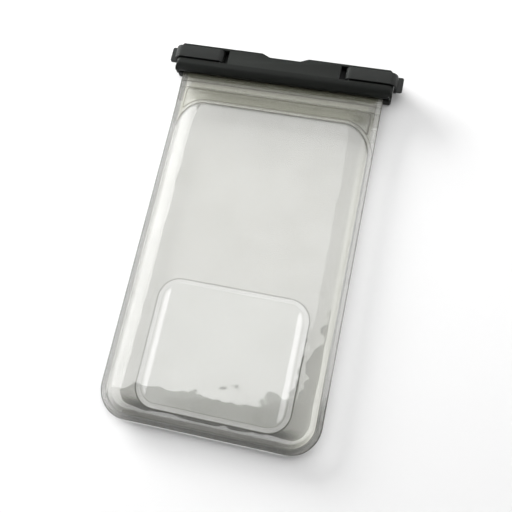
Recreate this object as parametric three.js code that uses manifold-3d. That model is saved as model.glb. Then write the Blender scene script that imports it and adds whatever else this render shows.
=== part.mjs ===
import * as THREE from "three";
import { mergeVertices } from "three/addons/utils/BufferGeometryUtils.js";
import Module from "manifold-3d";

// A soft waterproof pouch lying on its back, closed by a hinged two-jaw clip with two latches.
// Millimetres and degrees. +X is across the pouch, +Y runs from its foot to the clip, +Z is up
// out of its front. The origin is under the middle of the whole object, on the table.

// Driving sizes of the film pouch
const FILM_LENGTH = 178; // foot of the pouch to the lower edge of the clip
const FILM_HALF_WIDTH = 52.2;
const FILM_THICKNESS = 0.35;
const FOOT_CORNER_RADIUS = 15;
const WELD_WIDTH = 3;
const WELD_HEIGHT = 4; // the side welds stand this high above the table
const WELD_FALL_RUN = 22; // way below the clip in which the welds come down to that height
const FRONT_SWELL = 5.6; // rise of the swollen front above its welds
const FRONT_SWELL_RUN = 14;
const FRONT_MOUTH_RUN = 27;
const MOUTH_SWELL = 0.65; // rise of the front film over the press seal
const MOUTH_SWELL_RUN = 3;
const BACK_DROP_RUN = 4.5; // way from the weld in which the back film comes down flat
const BACK_MOUTH_RUN = 16;
const MOUTH_TUCK = 10.9; // length of film held between the jaws

// Driving sizes of the windows
const WINDOW_TOP_GAP = 17.7; // lower edge of the clip to the top of the front window
const WINDOW_CORNER_RADIUS = 14;
const WINDOW_LAP = 2.3;
const WINDOW_LAP_GAP = 0.15;
const LAP_SETTLE_RUN = 5;
const BACK_OPENING_WIDTH = 69.2;
const BACK_OPENING_HEIGHT = 57.8;
const BACK_OPENING_RADIUS = 8;
const BACK_WINDOW_LAP = 2.6;
const BACK_WINDOW_MARGIN = 0.2; // flat film left between the lap and the slope of the foot

// Driving sizes of the press seal inside the mouth
const ZIP_MOUTH_GAP = 4.5; // lower edge of the clip to the upper edge of the strips
const ZIP_WIDTH = 3.5;
const ZIP_END_GAP = 3.2; // side weld to the end of a strip
const ZIP_BASE = 0.3;
const ZIP_RIB_HEIGHT = 0.6;
const ZIP_RIB_WIDTH = 0.7;
const ZIP_CLEARANCE = 0.1;
const ZIP_CLAW_WIDTH = 0.5;

// Driving sizes of the clip
const CLIP_DEPTH = 14; // along Y
const CLIP_OVERHANG = 3.9; // clip beyond the film at each side
const CLIP_FOOT_CORNER = 1.8;
const CLIP_HEAD_CHAMFER_X = 2.8;
const CLIP_HEAD_CHAMFER_Y = 2.6;
const CLIP_END_ROUND = 3; // round of the front jaw's ends, seen from the edge
const BACK_JAW_HEIGHT = 4.85;
const BACK_JAW_ROUND = 1.2;
const FRONT_FACE_HEIGHT = 11;
const FRONT_EDGE_ROUND = 0.6;
const SHOULDER_RUN = 5; // flat face to the lower edge of the front jaw
const PARTING_GAP = 0.1;
const FILM_SLOT_CLEARANCE = 0.15;
const FILM_SIDE_CLEARANCE = 0.4;
const NOTCH_TOP_HALF_WIDTH = 12.6;
const NOTCH_FLOOR_HALF_WIDTH = 7.9;
const NOTCH_DEPTH = 2.1;

// Driving sizes of the clamping rib and its groove
const SEAL_RIB_INSET = 5.5; // top edge of the clip to the middle of the rib
const SEAL_RIB_WIDTH = 1;
const SEAL_RIB_HEIGHT = 0.6;
const SEAL_CLEARANCE = 0.05;
const SEAL_BEND = 0.5; // way in which the film climbs the rib
const SEAL_GROOVE_CLEARANCE = 0.3;

// Driving sizes of the jaw hinge
const NOSE_RADIUS = 1.5; // round of the lower edge, about the hinge axis
const EAR_WIDTH = 1.4;
const EAR_GAP = 0.3;
const EAR_STEM_HALF = 1.2;
const HINGE_PIN_RADIUS = 0.7;
const HINGE_PIN_LENGTH = 5.8;
const HINGE_PIN_INSET = 0.2;

// Driving sizes of the latches
const LATCH_WIDTH = 6.4; // along Y
const LATCH_HEAD_GAP = 0.2; // latch to the upper wall of its slot
const LATCH_FOOT_GAP = 0.8; // latch to the lower wall of its slot
const SLOT_RIM = 1.4; // wall above the slot
const SLOT_LENGTH = 27.1; // from the end of the clip
const LATCH_PROUD = 0.6; // latch above the front face
const LATCH_THICKNESS = 2;
const CROWN_INSET = 21.5; // end of the clip to the middle of the inner round
const CROWN_RADIUS = 3.5; // round of the inner end
const CROWN_TURN = 46;
const EYE_RADIUS = 1.9;
const LATCH_PIN_RADIUS = 0.7;
const LATCH_PIN_GRIP = 2.5; // length of the pin below the slot
const LATCH_PIN_INSET = 0.3;
const SLOT_FLOOR_GAP = 0.3;
const EYE_POCKET_GAP = 0.35;
const END_GAP = 0.4; // end of the clip to the end wall of a latch
const END_WALL = 1.2;
const END_ROUND = 4;
const END_FILLET = 1;
const HOOK_DEPTH = 3.4; // end wall below the top of the tab
const HOOK_LIP = 0.2;
const HOOK_LIP_HEIGHT = 0.6;
const TAB_LENGTH = 2.9;
const TAB_OVERHANG = 0.85; // tab beyond the latch on each side
const TAB_THICKNESS = 1.2;
const TAB_TOP = 6.1;
const TAB_ROUND = 1;
const CATCH_HEIGHT = 3.4; // under side of the ledge that the hook faces
const CATCH_DEPTH = 0.6;

// Running clearances of the pins
const PIN_TIGHT = 0.03;
const PIN_RUNNING = 0.1;

// Fineness of round shapes
const ARC_STEPS = 5;
const PIN_SIDES = 20;
const FOOT_ROWS = 3;
const CUT_MARGIN = 5; // how far a cut reaches past what it cuts

// Places worked out from the driving sizes
const TOTAL_LENGTH = FILM_LENGTH + CLIP_DEPTH;
const CLIP_HALF_LENGTH = FILM_HALF_WIDTH + CLIP_OVERHANG;
const FOOT_Y = -TOTAL_LENGTH / 2;
const CLIP_FOOT_Y = FOOT_Y + FILM_LENGTH;
const CLIP_HEAD_Y = TOTAL_LENGTH / 2;
const FILM_END_Y = CLIP_FOOT_Y + MOUTH_TUCK;
const FILM_CLAMP_Z = BACK_JAW_HEIGHT + FILM_THICKNESS; // where the two films meet in the clip
const JAW_UNDERSIDE = FILM_CLAMP_Z + FILM_THICKNESS + FILM_SLOT_CLEARANCE;
const FILM_BEND_Y = CLIP_FOOT_Y - FILM_SIDE_CLEARANCE;
const WELD_LINE_X = FILM_HALF_WIDTH - WELD_WIDTH;
const FILM_RECESS_X = FILM_HALF_WIDTH + FILM_SIDE_CLEARANCE;

const WINDOW_TOP_Y = CLIP_FOOT_Y - WINDOW_TOP_GAP;
const LAP_TOP_Y = WINDOW_TOP_Y + WINDOW_LAP;
const PANEL_FOOT_Y = WINDOW_TOP_Y - WINDOW_CORNER_RADIUS;
const LAP_RISE = FILM_THICKNESS + WINDOW_LAP_GAP;
const BACK_OPENING_FOOT_Y =
  FOOT_Y + WELD_WIDTH + BACK_DROP_RUN + BACK_WINDOW_MARGIN + BACK_WINDOW_LAP;

const SEAL_RIB_Y = CLIP_HEAD_Y - SEAL_RIB_INSET;
const SEAL_FILM_RISE = SEAL_RIB_HEIGHT + SEAL_CLEARANCE;
const SEAL_CREST_HALF = SEAL_RIB_WIDTH / 2 + SEAL_GROOVE_CLEARANCE;
const SEAL_FOOT_HALF = SEAL_CREST_HALF + SEAL_BEND;

const HINGE_Y = CLIP_FOOT_Y + NOSE_RADIUS;
const HINGE_Z = JAW_UNDERSIDE + NOSE_RADIUS;
const EAR_INNER_X = CLIP_HALF_LENGTH - EAR_WIDTH;
const HINGE_PIN_OUTER_X = CLIP_HALF_LENGTH - HINGE_PIN_INSET;
const HINGE_PIN_INNER_X = HINGE_PIN_OUTER_X - HINGE_PIN_LENGTH;
const SHOULDER_Y = CLIP_FOOT_Y + SHOULDER_RUN;

const SLOT_HEAD_Y = CLIP_HEAD_Y - SLOT_RIM;
const LATCH_HEAD_Y = SLOT_HEAD_Y - LATCH_HEAD_GAP;
const LATCH_FOOT_Y = LATCH_HEAD_Y - LATCH_WIDTH;
const SLOT_FOOT_Y = LATCH_FOOT_Y - LATCH_FOOT_GAP;
const LATCH_TOP = FRONT_FACE_HEIGHT + LATCH_PROUD;
const LATCH_UNDERSIDE = LATCH_TOP - LATCH_THICKNESS;
const CROWN_Z = LATCH_TOP - CROWN_RADIUS;
const SLOT_INNER_X = CLIP_HALF_LENGTH - SLOT_LENGTH;
const CROWN_X = CLIP_HALF_LENGTH - CROWN_INSET;
const EYE_ANGLE = THREE.MathUtils.degToRad(90 + CROWN_TURN);
const EYE_X = CROWN_X + (CROWN_RADIUS - EYE_RADIUS) * Math.cos(EYE_ANGLE);
const EYE_Z = CROWN_Z + (CROWN_RADIUS - EYE_RADIUS) * Math.sin(EYE_ANGLE);
const EYE_POCKET_OUTER_X = EYE_X + EYE_RADIUS + 2 * EYE_POCKET_GAP;
const EYE_POCKET_FLOOR = EYE_Z - EYE_RADIUS - EYE_POCKET_GAP;
const SLOT_FLOOR = LATCH_UNDERSIDE - SLOT_FLOOR_GAP;
const END_INNER_X = CLIP_HALF_LENGTH + END_GAP;
const END_OUTER_X = END_INNER_X + END_WALL;
const HOOK_FOOT = TAB_TOP - HOOK_DEPTH;
const LATCH_PIN_FOOT_Y = SLOT_FOOT_Y - LATCH_PIN_GRIP;
const LATCH_PIN_HEAD_Y = CLIP_HEAD_Y - LATCH_PIN_INSET;

const ZIP_HEAD_Y = CLIP_FOOT_Y - ZIP_MOUTH_GAP;
const ZIP_MIDDLE_Y = ZIP_HEAD_Y - ZIP_WIDTH / 2;
const ZIP_HALF_LENGTH = WELD_LINE_X - ZIP_END_GAP;

// Finishes, one material to each kind of stuff
const clipPlastic = new THREE.MeshStandardMaterial({ color: 0x2c2e2c, roughness: 0.5, metalness: 0 });
const latchPlastic = new THREE.MeshStandardMaterial({ color: 0x343634, roughness: 0.4, metalness: 0 });
const steel = new THREE.MeshStandardMaterial({ color: 0xc4c6c8, roughness: 0.3, metalness: 1 });
const smokeFilm = new THREE.MeshStandardMaterial({
  color: 0x97978c,
  roughness: 0.2,
  metalness: 0,
  transparent: true,
  opacity: 0.7,
});
const clearFilm = new THREE.MeshStandardMaterial({
  color: 0xe6e8e4,
  roughness: 0.1,
  metalness: 0,
  transparent: true,
  opacity: 0.3,
});
const zipPlastic = new THREE.MeshStandardMaterial({ color: 0xb4b4aa, roughness: 0.35, metalness: 0 });

const wasm = await Module();
wasm.setup();

// Solids from three.js geometry, and back

function solidOf(geometry) {
  const bare = geometry.clone();
  bare.deleteAttribute("normal");
  bare.deleteAttribute("uv");
  const merged = mergeVertices(bare, 1e-4);
  return new wasm.Manifold(
    new wasm.Mesh({
      numProp: 3,
      vertProperties: merged.attributes.position.array,
      triVerts: new Uint32Array(merged.index.array),
    }),
  );
}

function geometryOf(solid) {
  const mesh = solid.getMesh();
  const geometry = new THREE.BufferGeometry();
  geometry.setAttribute("position", new THREE.BufferAttribute(mesh.vertProperties, 3));
  geometry.setIndex(new THREE.BufferAttribute(mesh.triVerts, 1));
  geometry.computeVertexNormals();
  return geometry;
}

// Flat outlines: each corner is [x, y] or [x, y, radius], counter-clockwise

function outline(corners) {
  const shape = new THREE.Shape();
  corners.forEach(([x, y, radius = 0], i) => {
    const corner = new THREE.Vector2(x, y);
    const back = new THREE.Vector2(...corners.at(i - 1).slice(0, 2)).sub(corner).normalize();
    const ahead = new THREE.Vector2(...corners[(i + 1) % corners.length].slice(0, 2));
    ahead.sub(corner).normalize();
    const add = i === 0 ? "moveTo" : "lineTo";
    if (radius === 0) {
      shape[add](x, y);
      return;
    }
    const half = Math.acos(back.dot(ahead)) / 2;
    const reach = radius / Math.tan(half);
    const middle = back.clone().add(ahead).setLength(radius / Math.sin(half)).add(corner);
    const start = corner.clone().addScaledVector(back, reach);
    const end = corner.clone().addScaledVector(ahead, reach);
    const turnsRight = back.cross(ahead) > 0;
    shape[add](start.x, start.y);
    shape.absarc(
      middle.x,
      middle.y,
      radius,
      Math.atan2(start.y - middle.y, start.x - middle.x),
      Math.atan2(end.y - middle.y, end.x - middle.x),
      turnsRight,
    );
  });
  shape.closePath();
  return shape;
}

function rectangle(x0, y0, x1, y1, radius = 0) {
  return outline([
    [x0, y0, radius],
    [x1, y0, radius],
    [x1, y1, radius],
    [x0, y1, radius],
  ]);
}

// A prism of an outline: drawn in the YZ plane along X, in the XZ plane along Y, or flat along Z

function prism(shape, length) {
  return new THREE.ExtrudeGeometry(shape, {
    depth: length,
    bevelEnabled: false,
    curveSegments: ARC_STEPS,
  });
}

function prismAlongX(shape, x0, x1) {
  const turned = new THREE.Matrix4().makeBasis(
    new THREE.Vector3(0, 1, 0),
    new THREE.Vector3(0, 0, 1),
    new THREE.Vector3(1, 0, 0),
  );
  return solidOf(prism(shape, x1 - x0).applyMatrix4(turned).translate(x0, 0, 0));
}

function prismAlongY(shape, y0, y1) {
  const turned = new THREE.Matrix4().makeRotationX(Math.PI / 2);
  return solidOf(prism(shape, y1 - y0).applyMatrix4(turned).translate(0, y1, 0));
}

function prismAlongZ(shape, z0, z1) {
  return solidOf(prism(shape, z1 - z0).translate(0, 0, z0));
}

function block(x0, x1, y0, y1, z0, z1) {
  const box = new THREE.BoxGeometry(x1 - x0, y1 - y0, z1 - z0);
  return solidOf(box.translate((x0 + x1) / 2, (y0 + y1) / 2, (z0 + z1) / 2));
}

function rodAlongX(radius, x0, x1, y, z) {
  const rod = new THREE.CylinderGeometry(radius, radius, x1 - x0, PIN_SIDES);
  return solidOf(rod.rotateZ(Math.PI / 2).translate((x0 + x1) / 2, y, z));
}

function rodAlongY(radius, y0, y1, x, z) {
  const rod = new THREE.CylinderGeometry(radius, radius, y1 - y0, PIN_SIDES);
  return solidOf(rod.translate(x, (y0 + y1) / 2, z));
}

// The same solid on the other side of the pouch
function mirrored(solid) {
  return solid.mirror([1, 0, 0]);
}

// Eased steps from 0 to 1
function smooth(t) {
  return THREE.MathUtils.smoothstep(t, 0, 1);
}

function roundedRise(t) {
  return Math.sin((Math.PI / 2) * THREE.MathUtils.clamp(t, 0, 1));
}

// The film: rows and columns of points, the edge, and the heights over it

function stations(keys, counts) {
  return keys.slice(1).reduce(
    (list, key, i) => {
      for (let n = 1; n <= counts[i]; n += 1) list.push(keys[i] + ((key - keys[i]) * n) / counts[i]);
      return list;
    },
    [keys[0]],
  );
}

const FILM_COLUMNS = stations(
  [
    -FILM_HALF_WIDTH,
    -WELD_LINE_X,
    -WELD_LINE_X + BACK_DROP_RUN,
    -WELD_LINE_X + FRONT_SWELL_RUN,
    WELD_LINE_X - FRONT_SWELL_RUN,
    WELD_LINE_X - BACK_DROP_RUN,
    WELD_LINE_X,
    FILM_HALF_WIDTH,
  ],
  [1, 2, 3, 4, 3, 2, 1],
);

function filmRows(footY, headY) {
  const weldRows = stations([0, 1], [FOOT_ROWS]).map((t) => FOOT_Y + WELD_WIDTH * t * t);
  const keys = [
    FOOT_Y + WELD_WIDTH + BACK_DROP_RUN,
    FOOT_Y + FOOT_CORNER_RADIUS,
    FOOT_Y + WELD_WIDTH + FRONT_SWELL_RUN,
    PANEL_FOOT_Y,
    LAP_TOP_Y,
    FILM_BEND_Y,
    SEAL_RIB_Y - SEAL_FOOT_HALF,
    SEAL_RIB_Y - SEAL_CREST_HALF,
    SEAL_RIB_Y + SEAL_CREST_HALF,
    SEAL_RIB_Y + SEAL_FOOT_HALF,
    FILM_END_Y,
  ].sort((a, b) => a - b);
  const rows = stations([weldRows.at(-1), ...keys], [2, 2, 1, 5, 5, 6, 1, 1, 1, 1, 1]);
  return [...weldRows.slice(0, -1), ...rows].filter((y) => y >= footY && y <= headY);
}

function halfWidthAt(y) {
  const below = Math.max(FOOT_Y + FOOT_CORNER_RADIUS - y, 0);
  const reach = Math.sqrt(Math.max(FOOT_CORNER_RADIUS ** 2 - below ** 2, 0));
  return FILM_HALF_WIDTH - FOOT_CORNER_RADIUS + reach;
}

// Way from a point of the film to its nearest side or foot edge
function edgeDistance(x, y) {
  const past = Math.max(Math.abs(x) - FILM_HALF_WIDTH + FOOT_CORNER_RADIUS, 0);
  const below = Math.max(FOOT_Y + FOOT_CORNER_RADIUS - y, 0);
  const fromCorner = FOOT_CORNER_RADIUS - Math.hypot(past, below);
  const fromSides = Math.min(FILM_HALF_WIDTH - Math.abs(x), y - FOOT_Y);
  return past > 0 && below > 0 ? fromCorner : fromSides;
}

function weldPlane(y) {
  const fall = smooth((FILM_BEND_Y - y) / WELD_FALL_RUN);
  return THREE.MathUtils.lerp(FILM_CLAMP_Z, WELD_HEIGHT, fall) + sealRise(y);
}

function sealRise(y) {
  const inside = (SEAL_FOOT_HALF - Math.abs(y - SEAL_RIB_Y)) / SEAL_BEND;
  return SEAL_FILM_RISE * THREE.MathUtils.clamp(inside, 0, 1);
}

function frontUnderside(x, y) {
  const inward = edgeDistance(x, y) - WELD_WIDTH;
  const mouth = (FILM_BEND_Y - y) / FRONT_MOUTH_RUN;
  const swell = FRONT_SWELL * roundedRise(inward / FRONT_SWELL_RUN) * smooth(mouth);
  const overZip = smooth((FILM_BEND_Y - y) / ZIP_MOUTH_GAP) * roundedRise(inward / MOUTH_SWELL_RUN);
  return weldPlane(y) + swell + MOUTH_SWELL * overZip;
}

function panelUnderside(x, y) {
  return frontUnderside(x, y) + LAP_RISE * (1 - smooth((y - LAP_TOP_Y) / LAP_SETTLE_RUN));
}

function backUnderside(x, y) {
  const inward = edgeDistance(x, y) - WELD_WIDTH;
  const mouth = smooth((FILM_BEND_Y - y) / BACK_MOUTH_RUN);
  return (weldPlane(y) - FILM_THICKNESS) * (1 - roundedRise(inward / BACK_DROP_RUN) * mouth);
}

// A sheet of film over the given rows: a flat box whose points are moved to their places
function filmSheet(underside, rows) {
  const columns = FILM_COLUMNS.length - 1;
  const sheet = new THREE.BoxGeometry(columns, rows.length - 1, 1, columns, rows.length - 1, 1);
  const point = sheet.attributes.position;
  for (let i = 0; i < point.count; i += 1) {
    const column = Math.round(point.getX(i) + columns / 2);
    const row = Math.round(point.getY(i) + (rows.length - 1) / 2);
    const y = rows[row];
    const x = (FILM_COLUMNS[column] * halfWidthAt(y)) / FILM_HALF_WIDTH;
    const top = point.getZ(i) > 0 ? FILM_THICKNESS : 0;
    point.setXYZ(i, x, y, underside(x, y) + top);
  }
  return solidOf(sheet);
}

function frontWindow() {
  return filmSheet(frontUnderside, filmRows(FOOT_Y, LAP_TOP_Y));
}

function frontTopPanel() {
  const opening = rectangle(
    -WELD_LINE_X,
    FOOT_Y,
    WELD_LINE_X,
    WINDOW_TOP_Y,
    WINDOW_CORNER_RADIUS,
  );
  const sheet = filmSheet(panelUnderside, filmRows(PANEL_FOOT_Y, FILM_END_Y));
  return sheet.subtract(prismAlongZ(opening, 0, FRONT_FACE_HEIGHT + CUT_MARGIN));
}

function backOpening(lap) {
  return rectangle(
    -BACK_OPENING_WIDTH / 2 - lap,
    BACK_OPENING_FOOT_Y - lap,
    BACK_OPENING_WIDTH / 2 + lap,
    BACK_OPENING_FOOT_Y + BACK_OPENING_HEIGHT + lap,
    BACK_OPENING_RADIUS + lap,
  );
}

function backPanel() {
  const hole = prismAlongZ(backOpening(0), -CUT_MARGIN, CUT_MARGIN);
  return filmSheet(backUnderside, filmRows(FOOT_Y, FILM_END_Y)).subtract(hole);
}

function backWindow() {
  return prismAlongZ(backOpening(BACK_WINDOW_LAP), FILM_THICKNESS, 2 * FILM_THICKNESS);
}

// The press seal: a rib on the back strip held between two hooked claws of the front strip

const ZIP_HEIGHT = 2 * ZIP_BASE + ZIP_RIB_HEIGHT + ZIP_CLEARANCE;
const ZIP_FOOT_Z = weldPlane(ZIP_MIDDLE_Y) - ZIP_HEIGHT / 2;
const ZIP_RIB_NECK = ZIP_RIB_WIDTH / 2;

function zipStripBack() {
  const base = ZIP_FOOT_Z + ZIP_BASE;
  const crest = base + ZIP_RIB_HEIGHT;
  const section = outline([
    [ZIP_MIDDLE_Y - ZIP_WIDTH / 2, ZIP_FOOT_Z],
    [ZIP_MIDDLE_Y + ZIP_WIDTH / 2, ZIP_FOOT_Z],
    [ZIP_MIDDLE_Y + ZIP_WIDTH / 2, base],
    [ZIP_MIDDLE_Y + ZIP_RIB_NECK / 2, base],
    [ZIP_MIDDLE_Y + ZIP_RIB_WIDTH / 2, crest],
    [ZIP_MIDDLE_Y - ZIP_RIB_WIDTH / 2, crest],
    [ZIP_MIDDLE_Y - ZIP_RIB_NECK / 2, base],
    [ZIP_MIDDLE_Y - ZIP_WIDTH / 2, base],
  ]);
  return prismAlongX(section, -ZIP_HALF_LENGTH, ZIP_HALF_LENGTH);
}

function zipStripFront() {
  const head = ZIP_FOOT_Z + ZIP_HEIGHT;
  const base = head - ZIP_BASE;
  const tip = ZIP_FOOT_Z + ZIP_BASE + ZIP_CLEARANCE;
  const mouth = ZIP_RIB_NECK / 2 + ZIP_CLEARANCE;
  const throat = ZIP_RIB_WIDTH / 2 + ZIP_CLEARANCE;
  const outer = throat + ZIP_CLAW_WIDTH;
  const claw = (side) => [
    [ZIP_MIDDLE_Y + side * outer, base],
    [ZIP_MIDDLE_Y + side * outer, tip],
    [ZIP_MIDDLE_Y + side * mouth, tip],
    [ZIP_MIDDLE_Y + side * throat, base],
  ];
  const section = outline([
    [ZIP_MIDDLE_Y - ZIP_WIDTH / 2, head],
    [ZIP_MIDDLE_Y - ZIP_WIDTH / 2, base],
    ...claw(-1),
    ...claw(1).reverse(),
    [ZIP_MIDDLE_Y + ZIP_WIDTH / 2, base],
    [ZIP_MIDDLE_Y + ZIP_WIDTH / 2, head],
  ]);
  return prismAlongX(section, -ZIP_HALF_LENGTH, ZIP_HALF_LENGTH);
}

// The clip, seen from the front: square foot corners rounded, head corners cut off
function clipPlan() {
  return outline([
    [-CLIP_HALF_LENGTH, CLIP_FOOT_Y, CLIP_FOOT_CORNER],
    [CLIP_HALF_LENGTH, CLIP_FOOT_Y, CLIP_FOOT_CORNER],
    [CLIP_HALF_LENGTH, CLIP_HEAD_Y - CLIP_HEAD_CHAMFER_Y],
    [CLIP_HALF_LENGTH - CLIP_HEAD_CHAMFER_X, CLIP_HEAD_Y],
    [-CLIP_HALF_LENGTH + CLIP_HEAD_CHAMFER_X, CLIP_HEAD_Y],
    [-CLIP_HALF_LENGTH, CLIP_HEAD_Y - CLIP_HEAD_CHAMFER_Y],
  ]);
}

function hingeEar() {
  const knuckle = rodAlongX(NOSE_RADIUS, EAR_INNER_X, CLIP_HALF_LENGTH, HINGE_Y, HINGE_Z);
  const stem = block(
    EAR_INNER_X,
    CLIP_HALF_LENGTH,
    HINGE_Y - EAR_STEM_HALF,
    HINGE_Y + EAR_STEM_HALF / 2,
    BACK_JAW_HEIGHT - BACK_JAW_ROUND,
    HINGE_Z,
  );
  const bore = rodAlongX(
    HINGE_PIN_RADIUS + PIN_TIGHT,
    EAR_INNER_X - CUT_MARGIN,
    CLIP_HALF_LENGTH + CUT_MARGIN,
    HINGE_Y,
    HINGE_Z,
  );
  return knuckle.add(stem).subtract(bore);
}

function catchRecess() {
  return block(
    CLIP_HALF_LENGTH - CATCH_DEPTH,
    CLIP_HALF_LENGTH + CUT_MARGIN,
    LATCH_FOOT_Y - TAB_OVERHANG,
    LATCH_HEAD_Y + LATCH_HEAD_GAP,
    CATCH_HEIGHT - 2 * HOOK_LIP_HEIGHT,
    CATCH_HEIGHT,
  );
}

function clipBackJaw() {
  const section = outline([
    [CLIP_FOOT_Y, 0, BACK_JAW_ROUND],
    [CLIP_HEAD_Y, 0, BACK_JAW_ROUND],
    [CLIP_HEAD_Y, BACK_JAW_HEIGHT],
    [CLIP_FOOT_Y, BACK_JAW_HEIGHT, BACK_JAW_ROUND],
  ]);
  const body = prismAlongX(section, -CLIP_HALF_LENGTH, CLIP_HALF_LENGTH);
  const plan = prismAlongZ(clipPlan(), -CUT_MARGIN, FRONT_FACE_HEIGHT);
  const rib = block(
    -FILM_HALF_WIDTH,
    FILM_HALF_WIDTH,
    SEAL_RIB_Y - SEAL_RIB_WIDTH / 2,
    SEAL_RIB_Y + SEAL_RIB_WIDTH / 2,
    BACK_JAW_HEIGHT - BACK_JAW_ROUND,
    BACK_JAW_HEIGHT + SEAL_RIB_HEIGHT,
  );
  const ear = hingeEar();
  const recess = catchRecess();
  return body
    .intersect(plan)
    .add(rib)
    .add(ear)
    .add(mirrored(ear))
    .subtract(recess)
    .subtract(mirrored(recess));
}

// The front jaw's section: flat face, round shoulder and a nose about the hinge axis
function frontJawSection() {
  const shape = new THREE.Shape();
  const parting = BACK_JAW_HEIGHT + PARTING_GAP;
  const skirtY = HINGE_Y + NOSE_RADIUS + EAR_GAP;
  shape.moveTo(HINGE_Y, JAW_UNDERSIDE);
  shape.lineTo(skirtY, JAW_UNDERSIDE);
  shape.lineTo(skirtY, parting);
  shape.lineTo(CLIP_HEAD_Y, parting);
  shape.lineTo(CLIP_HEAD_Y, FRONT_FACE_HEIGHT - FRONT_EDGE_ROUND);
  shape.absarc(
    CLIP_HEAD_Y - FRONT_EDGE_ROUND,
    FRONT_FACE_HEIGHT - FRONT_EDGE_ROUND,
    FRONT_EDGE_ROUND,
    0,
    Math.PI / 2,
    false,
  );
  shape.lineTo(SHOULDER_Y, FRONT_FACE_HEIGHT);
  const shoulderHeight = FRONT_FACE_HEIGHT - HINGE_Z;
  shape.absellipse(SHOULDER_Y, HINGE_Z, SHOULDER_RUN, shoulderHeight, Math.PI / 2, Math.PI, false);
  shape.absarc(HINGE_Y, HINGE_Z, NOSE_RADIUS, Math.PI, 1.5 * Math.PI, false);
  return shape;
}

function fingerNotch() {
  const shape = outline([
    [-NOTCH_FLOOR_HALF_WIDTH, CLIP_HEAD_Y - NOTCH_DEPTH],
    [NOTCH_FLOOR_HALF_WIDTH, CLIP_HEAD_Y - NOTCH_DEPTH],
    [NOTCH_TOP_HALF_WIDTH, CLIP_HEAD_Y],
    [NOTCH_TOP_HALF_WIDTH, CLIP_HEAD_Y + CUT_MARGIN],
    [-NOTCH_TOP_HALF_WIDTH, CLIP_HEAD_Y + CUT_MARGIN],
    [-NOTCH_TOP_HALF_WIDTH, CLIP_HEAD_Y],
  ]);
  return prismAlongZ(shape, 0, FRONT_FACE_HEIGHT + CUT_MARGIN);
}

// Room in the front jaw for one latch, its pin, and the ear and pin of the jaw hinge
function frontJawSideCuts() {
  const top = FRONT_FACE_HEIGHT + CUT_MARGIN;
  const outer = CLIP_HALF_LENGTH + CUT_MARGIN;
  const slot = block(SLOT_INNER_X, outer, SLOT_FOOT_Y, SLOT_HEAD_Y, SLOT_FLOOR, top);
  const pocket = block(
    SLOT_INNER_X,
    EYE_POCKET_OUTER_X,
    SLOT_FOOT_Y,
    SLOT_HEAD_Y,
    EYE_POCKET_FLOOR,
    top,
  );
  const latchBore = rodAlongY(
    LATCH_PIN_RADIUS + PIN_TIGHT,
    LATCH_PIN_FOOT_Y,
    CLIP_HEAD_Y + CUT_MARGIN,
    EYE_X,
    EYE_Z,
  );
  const earRoom = rodAlongX(NOSE_RADIUS + EAR_GAP, EAR_INNER_X - EAR_GAP, outer, HINGE_Y, HINGE_Z);
  const stemRoom = block(
    EAR_INNER_X - EAR_GAP,
    outer,
    CLIP_FOOT_Y - CUT_MARGIN,
    HINGE_Y + NOSE_RADIUS + EAR_GAP,
    0,
    HINGE_Z,
  );
  const hingeBore = rodAlongX(
    HINGE_PIN_RADIUS + PIN_RUNNING,
    HINGE_PIN_INNER_X - PIN_RUNNING,
    outer,
    HINGE_Y,
    HINGE_Z,
  );
  return slot.add(pocket).add(latchBore).add(earRoom).add(stemRoom).add(hingeBore);
}

function clipFrontJaw() {
  const body = prismAlongX(frontJawSection(), -CLIP_HALF_LENGTH, CLIP_HALF_LENGTH);
  const plan = prismAlongZ(clipPlan(), 0, FRONT_FACE_HEIGHT + CUT_MARGIN);
  const edgeOn = outline([
    [-CLIP_HALF_LENGTH, 0],
    [CLIP_HALF_LENGTH, 0],
    [CLIP_HALF_LENGTH, FRONT_FACE_HEIGHT, CLIP_END_ROUND],
    [-CLIP_HALF_LENGTH, FRONT_FACE_HEIGHT, CLIP_END_ROUND],
  ]);
  const ends = prismAlongY(edgeOn, CLIP_FOOT_Y - CUT_MARGIN, CLIP_HEAD_Y + CUT_MARGIN);
  const filmRecess = block(
    -FILM_RECESS_X,
    FILM_RECESS_X,
    CLIP_FOOT_Y - CUT_MARGIN,
    FILM_END_Y + FILM_SIDE_CLEARANCE / 2,
    0,
    JAW_UNDERSIDE,
  );
  const grooveHalf = SEAL_FOOT_HALF + SEAL_GROOVE_CLEARANCE;
  const groove = block(
    -FILM_RECESS_X,
    FILM_RECESS_X,
    SEAL_RIB_Y - grooveHalf,
    SEAL_RIB_Y + grooveHalf,
    0,
    JAW_UNDERSIDE + SEAL_FILM_RISE,
  );
  const sideCuts = frontJawSideCuts();
  return body
    .intersect(plan)
    .intersect(ends)
    .subtract(filmRecess)
    .subtract(groove)
    .subtract(fingerNotch())
    .subtract(sideCuts)
    .subtract(mirrored(sideCuts));
}

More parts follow.
